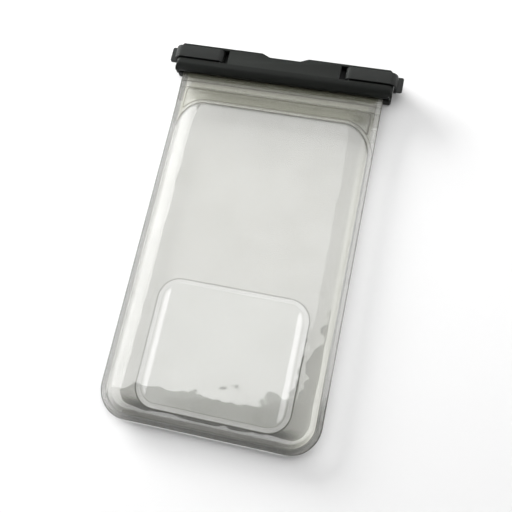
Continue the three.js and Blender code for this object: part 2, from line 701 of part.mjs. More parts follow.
// A latch on the right: round inner end with the eye, bar, end wall with the hook, and tab
function latchSection() {
  const underAngle = Math.asin((LATCH_UNDERSIDE - EYE_Z) / EYE_RADIUS);
  const shape = new THREE.Shape();
  shape.moveTo(END_OUTER_X - END_ROUND, LATCH_TOP);
  shape.lineTo(CROWN_X, LATCH_TOP);
  shape.absarc(CROWN_X, CROWN_Z, CROWN_RADIUS, Math.PI / 2, EYE_ANGLE, false);
  shape.absarc(EYE_X, EYE_Z, EYE_RADIUS, EYE_ANGLE, 2 * Math.PI + underAngle, false);
  shape.lineTo(END_INNER_X - END_FILLET, LATCH_UNDERSIDE);
  shape.absarc(
    END_INNER_X - END_FILLET,
    LATCH_UNDERSIDE - END_FILLET,
    END_FILLET,
    Math.PI / 2,
    0,
    true,
  );
  shape.lineTo(END_INNER_X, HOOK_FOOT + HOOK_LIP_HEIGHT);
  shape.lineTo(END_INNER_X - HOOK_LIP, HOOK_FOOT + HOOK_LIP_HEIGHT);
  shape.lineTo(END_INNER_X - HOOK_LIP, HOOK_FOOT);
  shape.lineTo(END_OUTER_X, HOOK_FOOT);
  shape.lineTo(END_OUTER_X, LATCH_TOP - END_ROUND);
  shape.absarc(
    END_OUTER_X - END_ROUND,
    LATCH_TOP - END_ROUND,
    END_ROUND,
    0,
    Math.PI / 2,
    false,
  );
  return shape;
}

function latchTab() {
  const plan = outline([
    [END_OUTER_X - END_WALL / 2, LATCH_FOOT_Y - TAB_OVERHANG],
    [END_OUTER_X + TAB_LENGTH, LATCH_FOOT_Y - TAB_OVERHANG, TAB_ROUND],
    [END_OUTER_X + TAB_LENGTH, LATCH_HEAD_Y + TAB_OVERHANG, TAB_ROUND],
    [END_OUTER_X - END_WALL / 2, LATCH_HEAD_Y + TAB_OVERHANG],
  ]);
  return prismAlongZ(plan, TAB_TOP - TAB_THICKNESS, TAB_TOP);
}

function latch() {
  const bore = rodAlongY(
    LATCH_PIN_RADIUS + PIN_RUNNING,
    LATCH_FOOT_Y - CUT_MARGIN,
    LATCH_HEAD_Y + CUT_MARGIN,
    EYE_X,
    EYE_Z,
  );
  return prismAlongY(latchSection(), LATCH_FOOT_Y, LATCH_HEAD_Y).add(latchTab()).subtract(bore);
}

function latchPin() {
  return rodAlongY(LATCH_PIN_RADIUS, LATCH_PIN_FOOT_Y + PIN_RUNNING, LATCH_PIN_HEAD_Y, EYE_X, EYE_Z);
}

function hingePin() {
  return rodAlongX(HINGE_PIN_RADIUS, HINGE_PIN_INNER_X, HINGE_PIN_OUTER_X, HINGE_Y, HINGE_Z);
}

// The whole pouch
const pouch = new THREE.Group();

function place(name, solid, material) {
  const mesh = new THREE.Mesh(geometryOf(solid), material);
  mesh.name = name;
  pouch.add(mesh);
}

place("back_panel", backPanel(), smokeFilm);
place("back_window", backWindow(), clearFilm);
place("front_window", frontWindow(), clearFilm);
place("front_top_panel", frontTopPanel(), smokeFilm);
place("zip_strip_back", zipStripBack(), zipPlastic);
place("zip_strip_front", zipStripFront(), zipPlastic);
place("clip_back_jaw", clipBackJaw(), clipPlastic);
place("clip_front_jaw", clipFrontJaw(), clipPlastic);

const rightLatch = latch();
const rightLatchPin = latchPin();
const rightHingePin = hingePin();
place("right_latch", rightLatch, latchPlastic);
place("left_latch", mirrored(rightLatch), latchPlastic);
place("right_latch_pin", rightLatchPin, steel);
place("left_latch_pin", mirrored(rightLatchPin), steel);
place("right_hinge_pin", rightHingePin, steel);
place("left_hinge_pin", mirrored(rightHingePin), steel);

export default pouch;
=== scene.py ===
"""The looks of a waterproof film pouch with a hinged clip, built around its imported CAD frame."""

import math
from typing import NamedTuple

import bmesh
import bpy
import numpy as np
from mathutils import Matrix, Vector, noise


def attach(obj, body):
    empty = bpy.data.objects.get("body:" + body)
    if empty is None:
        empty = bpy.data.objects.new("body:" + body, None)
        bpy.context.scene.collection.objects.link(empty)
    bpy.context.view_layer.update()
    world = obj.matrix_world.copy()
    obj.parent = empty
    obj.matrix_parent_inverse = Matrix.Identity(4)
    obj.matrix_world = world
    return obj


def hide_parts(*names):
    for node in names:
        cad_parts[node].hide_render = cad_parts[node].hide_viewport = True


bl_info = {
    "name": "Waterproof Pouch",
    "version": (1, 0, 0),
    "blender": (4, 5, 0),
    "location": "3D View > Sidebar > Pouch",
    "description": "Builds the films, press seal, clip, latches and studio of a waterproof pouch",
    "category": "Object",
}

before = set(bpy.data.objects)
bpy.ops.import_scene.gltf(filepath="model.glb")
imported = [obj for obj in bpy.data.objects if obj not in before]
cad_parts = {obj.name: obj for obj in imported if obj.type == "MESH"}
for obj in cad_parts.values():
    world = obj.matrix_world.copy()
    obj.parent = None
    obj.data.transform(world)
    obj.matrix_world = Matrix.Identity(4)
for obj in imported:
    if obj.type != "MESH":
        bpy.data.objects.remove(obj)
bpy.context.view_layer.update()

# Lengths in this file are millimetres, turned to metres where a mesh is made.
MM = 0.001

# The pouch's own places, the same as in the CAD model
FOOT_Y = -96.0
CLIP_FOOT_Y = 82.0
CLIP_HEAD_Y = 96.0
FILM_END_Y = 92.9
FILM_HALF_WIDTH = 52.2
FILM_THICKNESS = 0.35
FOOT_CORNER_RADIUS = 15.0
WELD_WIDTH = 3.0
WELD_LINE_X = FILM_HALF_WIDTH - WELD_WIDTH
WELD_HEIGHT = 4.0
WELD_FALL_RUN = 22.0
FILM_CLAMP_Z = 5.2
FILM_BEND_Y = 81.6
FRONT_SWELL = 5.6
FRONT_SWELL_RUN = 14.0
FRONT_MOUTH_RUN = 27.0
MOUTH_SWELL = 0.65
MOUTH_SWELL_RUN = 3.0
ZIP_MOUTH_GAP = 4.5
BACK_DROP_RUN = 4.5
BACK_MOUTH_RUN = 16.0
WINDOW_TOP_Y = 64.3
WINDOW_CORNER_RADIUS = 14.0
WINDOW_LAP = 2.3
LAP_TOP_Y = WINDOW_TOP_Y + WINDOW_LAP
LAP_RISE = 0.5
LAP_SETTLE_RUN = 5.0
PANEL_FOOT_Y = WINDOW_TOP_Y - WINDOW_CORNER_RADIUS
BACK_OPENING_X = 34.6
BACK_OPENING_FOOT_Y = -85.7
BACK_OPENING_HEAD_Y = -27.9
BACK_OPENING_RADIUS = 8.0
BACK_WINDOW_LAP = 2.6
SEAL_RIB_Y = 90.5
SEAL_FILM_RISE = 0.65
SEAL_CREST_HALF = 0.8
SEAL_BEND = 0.5
SEAL_FOOT_HALF = SEAL_CREST_HALF + SEAL_BEND
WELD_SKIN_GAP = 0.01

# Where the rows and columns of a film's points change their steps
STEEP_END = 8.0
SWELL_END = WELD_WIDTH + FRONT_SWELL_RUN
CLAMPED_ROWS = [FILM_BEND_Y, SEAL_RIB_Y - SEAL_FOOT_HALF, SEAL_RIB_Y + SEAL_FOOT_HALF, FILM_END_Y]
CLAMPED_STEPS = [1.2, 0.25, 0.6]
PANEL_BENT_HEAD_Y = 71.0

# Marks pressed into the film by the weld tools
WELD_RIDGES = (0.75, 1.5, 2.25)
WELD_RIDGE_HEIGHT = 0.05
WELD_RIDGE_HALF = 0.3
# Where the painted highlight strips inside the back window's sides lie
HIGHLIGHT_STRIP_INNER_X = 31.2
HIGHLIGHT_STRIP_MARGIN = 0.5
# Pressed lines round the press seal and the outlined field
ZIP_HEAD_Y = 77.5
ZIP_FOOT_Y = 74.0
FIELD_HALF_WIDTH = 47.6
FIELD_HEAD_Y = 73.4
FIELD_CORNER = 1.6
GROOVE_RUN = 0.25
GROOVE_DEPTH = 0.12
BACK_RIDGE_SHARE = 0.6

# Small waves of the back film and of its window
BACK_WAVE = 0.06
BACK_WINDOW_WAVE = 0.05
BACK_WINDOW_COLUMNS = 81

# Smooth shading stops at an edge that turns more than this
FILM_SHARP_ANGLE = math.radians(60)
MOULDED_SHARP_ANGLE = math.radians(30)

# A solid's edges that turn more than ROUNDED_ANGLE get small rounds. Before that, points closer
# than MERGE_DISTANCE become one, and faces that turn less than FLAT_ANGLE become one face.
ROUNDED_ANGLE = math.radians(32)
FLAT_ANGLE = math.radians(0.5)
MERGE_DISTANCE = 0.02
ROD_SIDES = 40

# Dents of the front film: across, along, radius, height
DENTS = (
    (-36.0, -88.2, 4.2, 0.5),
    (9.6, -88.0, 2.2, 0.2),
    (43.5, -87.5, 5.0, 0.35),
    (-46.3, -72.0, 2.6, -0.25),
)

# The clip's own places
CLIP_HALF_LENGTH = 56.1
CLIP_FOOT_CORNER = 1.8
CLIP_CHAMFER_X = 2.8
CLIP_CHAMFER_Y = 2.6
CLIP_END_ROUND = 3.0
BACK_JAW_HEIGHT = 4.85
BACK_JAW_ROUND = 1.2
FRONT_FACE_Z = 11.0
FRONT_EDGE_ROUND = 0.6
PARTING_Z = 4.95
JAW_UNDERSIDE = 5.7
HINGE_Y = 83.5
HINGE_Z = 7.2
NOSE_RADIUS = 1.5
SHOULDER_Y = 87.0
SHOULDER_RUN = 5.0
SKIRT_Y = 85.3
FILM_RECESS_X = 52.6
FILM_RECESS_Y = 93.1
GROOVE_HALF = 1.6
RIB_HALF = 0.5
RIB_TOP = 5.45
NOTCH_TOP_X = 12.6
NOTCH_FLOOR_X = 7.9
NOTCH_DEPTH = 2.1
EAR_INNER_X = 54.7
EAR_GAP = 0.3
EAR_STEM_HALF = 1.2
PIN_RADIUS = 0.7
HINGE_BORE_INNER_X = 50.0
SLOT_INNER_X = 29.0
SLOT_FOOT_Y = 87.2
SLOT_HEAD_Y = 94.6
SLOT_FLOOR = 9.3
EYE_POCKET_X = 36.05
EYE_POCKET_FLOOR = 6.96
LATCH_BORE_FOOT_Y = 84.7
LATCH_FOOT_Y = 88.0
LATCH_HEAD_Y = 94.4
LATCH_TOP = 11.6
LATCH_UNDERSIDE = 9.6
CROWN_X = 34.6
CROWN_Z = 8.1
CROWN_RADIUS = 3.5
CROWN_TURN = math.radians(46)
EYE_X = 33.4491
EYE_Z = 9.2115
EYE_RADIUS = 1.9
END_INNER_X = 56.5
END_OUTER_X = 57.7
END_ROUND = 4.0
END_FILLET = 1.0
HOOK_FOOT = 2.7
HOOK_LIP = 0.2
HOOK_LIP_HEIGHT = 0.6
TAB_OUTER_X = 60.6
TAB_OVERHANG = 0.85
TAB_FOOT = 4.9
TAB_TOP = 6.1
TAB_ROUND = 1.0
CATCH_FOOT = 2.2
CATCH_TOP = 3.4
CATCH_DEPTH = 0.6
CUT_MARGIN = 5.0

# The press seal inside the mouth
ZIP_MIDDLE_Y = 75.75
ZIP_HALF_WIDTH = 1.75
ZIP_HALF_LENGTH = 46.0
ZIP_BASE = 0.3
ZIP_RIB_HEIGHT = 0.6
ZIP_RIB_WIDTH = 0.7
ZIP_NECK = 0.35
ZIP_CLEARANCE = 0.1
ZIP_CLAW = 0.5

# Play of the pins in their bores, and the clip plastic's index of refraction
PIN_TIGHT = 0.03
PIN_RUNNING = 0.1
CLIP_IOR = 1.36

# The camera of the view from the front, in metres
CAMERA_PLACE = (0.05900839, -0.09325936, 0.32787314)
CAMERA_RIGHT = (0.97229645, 0.20940999, -0.10386085)
CAMERA_UP = (-0.17411848, 0.94528064, 0.27591169)
CAMERA_BACK = (0.15595632, -0.25018386, 0.95555516)
CAMERA_LENS = 49.68
SENSOR_WIDTH = 36.0

# The even light comes most from this side, and is weakest where the cosine of the angle to it
# is below the first number of SKY_FADE, and at full strength above the second
SKY_SIDE = (-0.25, 0.45, 0.86)
SKY_FADE = (-0.1, 0.9)

# The round floor and the wall that it curves up into
FLOOR_RINGS = (200, 600, 1200)
WALL_BEND = 300
WALL_TOP = 800
FLOOR_SIDES = 96
FLOOR_GAP = 0.02

# Up to these heights in metres the floor's colour and glow turn into the wall's
WALL_COLOUR_HEIGHT = 0.12
WALL_GLOW_HEIGHT = 0.3
FLOOR_COLOUR = (0.8, 0.8, 0.8, 1)
WALL_COLOUR = (0.5, 0.5, 0.5, 1)

# Light crosses this many film faces at most, on its way to the floor and on to a lamp
FILM_FACES_CROSSED = 24


def colour_setting(name, description, default):
    return bpy.props.FloatVectorProperty(
        name=name, description=description, subtype="COLOR", size=3, min=0, max=1, default=default
    )


def share_setting(name, description, default):
    return bpy.props.FloatProperty(
        name=name, description=description, subtype="FACTOR", min=0, max=1, default=default
    )


def length_setting(name, description, least, most, default):
    """A length in metres."""
    return bpy.props.FloatProperty(
        name=name, description=description, unit="LENGTH", min=least, max=most, default=default
    )


def strength_setting(name, description, default):
    return bpy.props.FloatProperty(name=name, description=description, min=0, default=default)


class PouchFilmSettings(bpy.types.PropertyGroup):
    smoke_tint: colour_setting("Smoke Tint", "Colour of the smoke-grey film", (0.25, 0.25, 0.180))
    smoke_cover: share_setting(
        "Smoke Cover", "How much one face of the smoke-grey top panel hides", 0.215
    )
    back_cover: share_setting(
        "Back Cover", "How much one face of the smoke-grey back film hides", 0.22
    )
    clear_tint: colour_setting("Clear Tint", "Colour of the clear film", (0.50, 0.51, 0.42))
    clear_cover: share_setting("Clear Cover", "How much one face of the clear film hides", 0.10)
    weld_tint: colour_setting(
        "Weld Tint", "Colour of the film where it is welded", (0.13, 0.13, 0.106)
    )
    wave_height: length_setting(
        "Wave Height", "Height of the long waves of the front film", 0, 0.002, 0.00025
    )
    crease_height: length_setting(
        "Crease Height", "Height of the short sharp creases of the front film", 0, 0.001, 0.0002
    )
    mesh_step: length_setting(
        "Mesh Step", "Way between two points of the film's middle", 0.0005, 0.005, 0.0012
    )


class PouchClipSettings(bpy.types.PropertyGroup):
    clip_colour: colour_setting("Clip Colour", "Colour of the two jaws", (0.0120, 0.0135, 0.0122))
    latch_colour: colour_setting(
        "Latch Colour", "Colour of the two latches", (0.0145, 0.0160, 0.0148)
    )
    edge_round: length_setting(
        "Edge Round", "Width of the small rounds on moulded edges", 0, 0.001, 0.00022
    )
    arc_steps: bpy.props.IntProperty(
        name="Arc Steps", description="Flat steps in each rounded corner", min=3, max=32, default=10
    )


class PouchStageSettings(bpy.types.PropertyGroup):
    key_strength: strength_setting(
        "Key Strength", "Power of the large soft lamp above, which the film mirrors, in watts", 22.0
    )
    side_strength: strength_setting(
        "Side Strength", "Power of the soft lamp above and at the right, in watts", 7.2
    )
    left_strength: strength_setting(
        "Left Strength", "Power of the soft upright lamp at the left, in watts", 3.2
    )
    low_strength: strength_setting(
        "Low Strength",
        "Power of the low lamp at the left, which draws the soft shadow, in watts",
        31.0,
    )
    sky_strength: strength_setting("Sky Strength", "Strength of the even light from above", 0.06)
    sky_front_share: share_setting(
        "Sky Front Share", "Share of the even light that comes from the side of the foot", 0.3
    )
    floor_glow: strength_setting(
        "Floor Glow", "Light that the floor adds to its own colour, so that it shows white", 0.08
    )
    wall_glow: strength_setting(
        "Wall Glow", "The same for the wall round the floor, which the lamps light less", 0.8
    )


# Small curves, for single numbers and for arrays


def smooth(t):
    t = np.clip(t, 0, 1)
    return t * t * (3 - 2 * t)


def rounded_rise(t):
    return np.sin(math.pi / 2 * np.clip(t, 0, 1))


def half_width_at(y):
    below = np.maximum(FOOT_Y + FOOT_CORNER_RADIUS - y, 0)
    reach = np.sqrt(np.maximum(FOOT_CORNER_RADIUS**2 - below**2, 0))
    return FILM_HALF_WIDTH - FOOT_CORNER_RADIUS + reach


def edge_distance(x, y):
    """Way from a point of the film to its nearest side or foot edge."""
    past = np.maximum(np.abs(x) - FILM_HALF_WIDTH + FOOT_CORNER_RADIUS, 0)
    below = np.maximum(FOOT_Y + FOOT_CORNER_RADIUS - y, 0)
    from_corner = FOOT_CORNER_RADIUS - np.hypot(past, below)
    from_sides = np.minimum(FILM_HALF_WIDTH - np.abs(x), y - FOOT_Y)
    return np.where((past > 0) & (below > 0), from_corner, from_sides)


def rectangle_distance(x, y, half_width, foot, head, radius):
    """Way from a point to a round-cornered rectangle's edge, below zero inside it."""
    across = np.abs(x) - half_width + radius
    along = np.abs(y - (foot + head) / 2) - (head - foot) / 2 + radius
    outside = np.hypot(np.maximum(across, 0), np.maximum(along, 0))
    return outside + np.minimum(np.maximum(across, along), 0) - radius


def window_distance(x, y):
    return rectangle_distance(
        x, y, WELD_LINE_X, FOOT_Y - FILM_HALF_WIDTH, WINDOW_TOP_Y, WINDOW_CORNER_RADIUS
    )


def back_opening_distance(x, y):
    return rectangle_distance(
        x, y, BACK_OPENING_X, BACK_OPENING_FOOT_Y, BACK_OPENING_HEAD_Y, BACK_OPENING_RADIUS
    )


def fold_share(x, y):
    """How strongly the painted light on the weld shows, which makes it paler. It shows at the right
    and the foot.
    """
    return 1 - smooth((-x - 10) / 30) * smooth((y - FOOT_Y - 4) / 10)


def foot_share(x, y):
    """How strongly the painted shade along the foot and the foot's pressed lines show. They fade
    before the corners.
    """
    return smooth((13 - y + FOOT_Y) / 5) * smooth((50 - np.abs(x)) / 18)


def highlight_strip_distance(x, y):
    """Way to the painted highlight strips just inside the two sides of the back window, below zero
    in them.
    """
    return np.maximum(HIGHLIGHT_STRIP_INNER_X - np.abs(x), back_opening_distance(x, y) + HIGHLIGHT_STRIP_MARGIN)


def field_distance(x, y):
    """Way to the outlined field between the press seal and the window, below zero in it."""
    sides = np.stack(
        [
            np.abs(x) - FIELD_HALF_WIDTH + FIELD_CORNER,
            y - FIELD_HEAD_Y + FIELD_CORNER,
            WINDOW_LAP + FIELD_CORNER - window_distance(x, y),
        ]
    )
    beyond = np.sqrt(np.sum(np.maximum(sides, 0) ** 2, axis=0))
    return beyond + np.minimum(np.max(sides, axis=0), 0) - FIELD_CORNER


# The heights of the films


def seal_rise(y):
    inside = (SEAL_FOOT_HALF - np.abs(y - SEAL_RIB_Y)) / SEAL_BEND
    return SEAL_FILM_RISE * np.clip(inside, 0, 1)


def weld_plane(y):
    fall = smooth((FILM_BEND_Y - y) / WELD_FALL_RUN)
    return FILM_CLAMP_Z + (WELD_HEIGHT - FILM_CLAMP_Z) * fall + seal_rise(y)


def front_underside(x, y):
    inward = edge_distance(x, y) - WELD_WIDTH
    mouth = smooth((FILM_BEND_Y - y) / FRONT_MOUTH_RUN)
    swell = FRONT_SWELL * rounded_rise(inward / FRONT_SWELL_RUN) * mouth
    over_zip = smooth((FILM_BEND_Y - y) / ZIP_MOUTH_GAP) * rounded_rise(inward / MOUTH_SWELL_RUN)
    return weld_plane(y) + swell + MOUTH_SWELL * over_zip


def panel_underside(x, y):
    return front_underside(x, y) + LAP_RISE * (1 - smooth((y - LAP_TOP_Y) / LAP_SETTLE_RUN))


def back_underside(x, y):
    inward = edge_distance(x, y) - WELD_WIDTH
    mouth = smooth((FILM_BEND_Y - y) / BACK_MOUTH_RUN)
    drop = rounded_rise(inward / BACK_DROP_RUN) * mouth
    return (weld_plane(y) - FILM_THICKNESS) * (1 - drop)


def noise_at(x, y, size, seed):
    """Even noise over the film, from -1 to 1. Size is the length of one wave."""
    flat = [
        noise.noise(Vector((px / size, py / size, seed)))
        for px, py in zip(np.ravel(x), np.ravel(y))
    ]
    return np.reshape(flat, np.shape(x))


def shards_at(x, y, size, seed):
    """Faceted creases over the film, from 0 to about 1."""
    flat = []
    for px, py in zip(np.ravel(x), np.ravel(y)):
        place = Vector((px / size, py / size, seed))
        nearest = noise.voronoi(place, distance_metric="DISTANCE")[0]
        flat.append(nearest[1] - nearest[0])
    return np.reshape(flat, np.shape(x))


def front_ripple(x, y, settings):
    """Waves and creases of the front film. They die out at its welds and at the mouth."""
    inward = edge_distance(x, y) - WELD_WIDTH
    room = smooth(inward / 5) * smooth((FILM_BEND_Y - y - 4) / 22)
    bent_x = x + 5 * noise_at(x, y, 21, 3.1)
    bent_y = y + 5 * noise_at(x, y, 21, 7.7)
    waves = noise_at(bent_x, bent_y * 0.6, 24, 0.3) + 0.35 * noise_at(bent_x, bent_y, 9, 1.9)
    creases = shards_at(bent_x, bent_y * 0.7, 15, 5.2) + 0.4 * shards_at(bent_x, bent_y, 6, 8.4)
    wave_part = settings.wave_height / MM * waves
    crease_part = settings.crease_height / MM * (creases - 0.4)
    dents = sum(
        height * np.exp(-(np.hypot(x - across, y - along) / radius) ** 2)
        for across, along, radius, height in DENTS
    )
    return room * (wave_part + crease_part) + dents * smooth(inward / 3)


def weld_ridges(x, y):
    """Height of the ribs that the weld tool leaves along the edges."""
    inward = edge_distance(x, y)
    return sum(
        WELD_RIDGE_HEIGHT * np.exp(-(((inward - place) / WELD_RIDGE_HALF) ** 2))
        for place in WELD_RIDGES
    )


# Meshes


def stations(keys, steps):
    """Places from key to key, at most a step apart between each two of them."""
    places = [keys[0]]
    for start, end, step in zip(keys, keys[1:], steps):
        count = max(1, math.ceil(abs(end - start) / step - 1e-9))
        places.extend(start + (end - start) * n / count for n in range(1, count + 1))
    return np.array(places)


def object_of(name, points, faces):
    """A new object in the scene from points in millimetres."""
    mesh = bpy.data.meshes.new(name)
    mesh.from_pydata((np.asarray(points, float) * MM).tolist(), [], faces)
    mesh.update()
    made = bpy.data.objects.new(name, mesh)
    bpy.context.scene.collection.objects.link(made)
    return made


def sheet_object(name, x, y, low, high):
    """A closed sheet over a grid of places: its upper face, its under face and its rim."""
    rows, columns = x.shape
    count = rows * columns
    points = np.concatenate(
        [
            np.stack([x, y, low], axis=-1).reshape(-1, 3),
            np.stack([x, y, high], axis=-1).reshape(-1, 3),
        ]
    )
    index = np.arange(count).reshape(rows, columns)
    a, b = index[:-1, :-1].ravel(), index[:-1, 1:].ravel()
    c, d = index[1:, 1:].ravel(), index[1:, :-1].ravel()
    under = np.stack([a, d, c, b], axis=-1)
    upper = np.stack([a, b, c, d], axis=-1) + count
    ring = np.concatenate([index[0, :-1], index[:-1, -1], index[-1, :0:-1], index[:0:-1, 0]])
    ahead = np.roll(ring, -1)
    rim = np.stack([ring, ahead, ahead + count, ring + count], axis=-1)
    faces = np.concatenate([under, upper, rim]).tolist()
    return object_of(name, points, faces)


def evaluated(obj):
    """The object with its modifiers made part of its mesh."""
    graph = bpy.context.evaluated_depsgraph_get()
    mesh = bpy.data.meshes.new_from_object(obj.evaluated_get(graph))
    obj.modifiers.clear()
    old = obj.data
    obj.data = mesh
    bpy.data.meshes.remove(old)
    return obj


def combined(obj, tool, operation):
    """Joins a tool to the object, cuts it out or keeps what both share."""
    step = obj.modifiers.new("combine", "BOOLEAN")
    step.operation = operation
    step.solver = "EXACT"
    step.object = tool
    evaluated(obj)
    mesh = tool.data
    bpy.data.objects.remove(tool)
    bpy.data.meshes.remove(mesh)
    return obj


def without(obj, *tools):
    for tool in tools:
        combined(obj, tool, "DIFFERENCE")
    return obj


def joined(obj, *tools):
    for tool in tools:
        combined(obj, tool, "UNION")
    return obj


def mirrored_tool(obj):
    """A copy of a cutting solid on the other side of the pouch."""
    mesh = obj.data.copy()
    mesh.transform(Matrix.Diagonal((-1, 1, 1, 1)))
    mesh.flip_normals()
    copy = bpy.data.objects.new(obj.name + "_other", mesh)
    bpy.context.scene.collection.objects.link(copy)
    return copy


def arc(x, y, radius, start, end, steps, squash=1):
    """Points of an arc, ends included. Angles in radians."""
    angles = np.linspace(start, end, steps + 1)
    return [(x + radius * math.cos(a), y + squash * radius * math.sin(a)) for a in angles]


def outline(corners, steps):
    """Points round a flat shape. Each corner is (x, y) or (x, y, radius), in order."""
    points = []
    for i, corner in enumerate(corners):
        here = Vector(corner[:2])
        if len(corner) == 2:
            points.append(tuple(here))
            continue
        radius = corner[2]
        behind = (Vector(corners[i - 1][:2]) - here).normalized()
        ahead = (Vector(corners[(i + 1) % len(corners)][:2]) - here).normalized()
        half = math.acos(behind.dot(ahead)) / 2
        middle = here + (behind + ahead).normalized() * radius / math.sin(half)
        start = here + behind * radius / math.tan(half) - middle
        end = here + ahead * radius / math.tan(half) - middle
        first = math.atan2(start.y, start.x)
        turn = (math.atan2(end.y, end.x) - first + math.pi) % (2 * math.pi) - math.pi
        points.extend(arc(*middle, radius, first, first + turn, steps))
    return points


AXIS_ORDER = {"X": (2, 0, 1), "Y": (0, 2, 1), "Z": (0, 1, 2)}


def prism(name, shape, axis, start, end):
    """A flat shape drawn out along an axis. Its own two axes follow in the order X, Y, Z."""
    order = AXIS_ORDER[axis]
    ends = [[(*point, place)[k] for k in order] for place in (start, end) for point in shape]
    count = len(shape)
    sides = [(n, (n + 1) % count, count + (n + 1) % count, count + n) for n in range(count)]
    caps = [tuple(range(count))[::-1], tuple(range(count, 2 * count))]
    made = object_of(name, ends, sides + caps)
    shell = bmesh.new()
    shell.from_mesh(made.data)
    bmesh.ops.recalc_face_normals(shell, faces=shell.faces)
    shell.to_mesh(made.data)
    shell.free()
    return made


def block(x0, x1, y0, y1, z0, z1):
    return prism("block", [(x0, y0), (x1, y0), (x1, y1), (x0, y1)], "Z", z0, z1)


def circle(x, y, radius, sides):
    """Points round a circle, the first one not repeated."""
    return arc(x, y, radius, 0, 2 * math.pi * (sides - 1) / sides, sides - 1)


def rod(axis, radius, start, end, a, b):
    return prism("rod", circle(a, b, radius, ROD_SIDES), axis, start, end)


def finished_solid(obj, width, segments=2):
    """Merges flat faces, rounds the sharp edges a little and shades the round faces smooth."""
    shell = bmesh.new()
    shell.from_mesh(obj.data)
    bmesh.ops.remove_doubles(shell, verts=shell.verts, dist=MERGE_DISTANCE * MM)
    bmesh.ops.dissolve_limit(shell, angle_limit=FLAT_ANGLE, verts=shell.verts, edges=shell.edges)
    shell.to_mesh(obj.data)
    shell.free()
    bevel = obj.modifiers.new("small rounds", "BEVEL")
    bevel.width = width
    bevel.segments = segments
    bevel.limit_method = "ANGLE"
    bevel.angle_limit = ROUNDED_ANGLE
    evaluated(obj)
    shade_smooth(obj, MOULDED_SHARP_ANGLE)
    return obj


def shade_smooth(obj, angle=math.pi):
    """Smooth shading on every face, with an edge kept sharp where it turns more than the angle."""
    mesh = obj.data
    mesh.polygons.foreach_set("use_smooth", [True] * len(mesh.polygons))
    shell = bmesh.new()
    shell.from_mesh(mesh)
    for edge in shell.edges:
        edge.smooth = len(edge.link_faces) < 2 or edge.calc_face_angle(math.pi) < angle
    shell.to_mesh(mesh)
    shell.free()
    mesh.update()
    return obj


def places_of(obj):
    """The x and y of every point of a mesh, in millimetres."""
    flat = np.zeros(len(obj.data.vertices) * 3, np.float32)
    obj.data.vertices.foreach_get("co", flat)
    places = flat.reshape(-1, 3).astype(float) / MM
    return places[:, 0], places[:, 1]


def mark(obj, **distances):
    """Keeps a distance in millimetres at every point, for the material to read."""
    x, y = places_of(obj)
    for name, distance in distances.items():
        kept = obj.data.attributes.new(name, "FLOAT", "POINT")
        kept.data.foreach_set("value", distance(x, y).astype(np.float32))


def finished_film(obj, material, slot, node, **distances):
    """Marks a film for its material, shades it smooth and dresses it."""
    mark(obj, **distances)
    shade_smooth(obj, FILM_SHARP_ANGLE)
    dress(obj, material, "pouch", slot, node)


def dress(obj, material, body, slot, *nodes):
    """Gives a piece its material and its body, and hides the CAD nodes that it stands for. The slot
    is not used.
    """
    obj.data.materials.clear()
    obj.data.materials.append(material)
    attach(obj, body)
    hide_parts(*nodes)
    return obj


# Shader nodes


def new_group(name, inputs, outputs):
    """An empty shader group and its two end nodes.

    Its inputs are named sockets with their values, numbers or colours. The outputs are names.
    """
    group = bpy.data.node_groups.new(name, "ShaderNodeTree")
    for label, value in inputs.items():
        kind = "NodeSocketColor" if isinstance(value, tuple) else "NodeSocketFloat"
        socket = group.interface.new_socket(label, in_out="INPUT", socket_type=kind)
        socket.default_value = value
    for label in outputs:
        kind = "NodeSocketColor" if label == "Colour" else "NodeSocketFloat"
        group.interface.new_socket(label, in_out="OUTPUT", socket_type=kind)
    return group, group.nodes.new("NodeGroupInput"), group.nodes.new("NodeGroupOutput")


class Wiring:
    """Short calls that add nodes to a tree and join them."""

    def __init__(self, tree):
        self.tree = tree

    def put(self, socket, value):
        if isinstance(value, bpy.types.NodeSocket):
            self.tree.links.new(value, socket)
        else:
            socket.default_value = value

    def add(self, kind, values=(), **settings):
        node = self.tree.nodes.new(kind)
        for name, value in settings.items():
            setattr(node, name, value)
        for name, value in dict(values).items():
            self.put(node.inputs[name], value)
        return node

    def math(self, operation, a, b=0.0, clamp=False):
        node = self.add("ShaderNodeMath", {0: a, 1: b}, operation=operation, use_clamp=clamp)
        return node.outputs[0]

    def mix(self, factor, a, b):
        node = self.add("ShaderNodeMix", data_type="RGBA")
        self.put(node.inputs[0], factor)
        self.put(node.inputs[6], a)
        self.put(node.inputs[7], b)
        return node.outputs[2]

    def span(self, value, from_low, from_high, to_low=0.0, to_high=1.0):
        node = self.add(
            "ShaderNodeMapRange",
            {0: value, 1: from_low, 2: from_high, 3: to_low, 4: to_high},
            interpolation_type="SMOOTHSTEP",
        )
        return node.outputs[0]

    def noise(self, place, scale, detail=2.0, roughness=0.5):
        node = self.add(
            "ShaderNodeTexNoise",
            {"Vector": place, "Scale": scale, "Detail": detail, "Roughness": roughness},
        )
        return node.outputs["Fac"]

    def place(self, stretch=(1, 1, 1)):
        """Where the point is on the piece, in metres, stretched along each axis."""
        at = self.add("ShaderNodeTexCoord").outputs["Object"]
        return self.add("ShaderNodeMapping", {"Vector": at, "Scale": stretch}).outputs[0]

    def along(self, axis):
        """Where the point is along one axis, in metres."""
        at = self.add("ShaderNodeTexCoord").outputs["Object"]
        return self.add("ShaderNodeSeparateXYZ", {0: at}).outputs[axis]

    def distance(self, name):
        return self.add("ShaderNodeAttribute", attribute_name=name).outputs["Fac"]


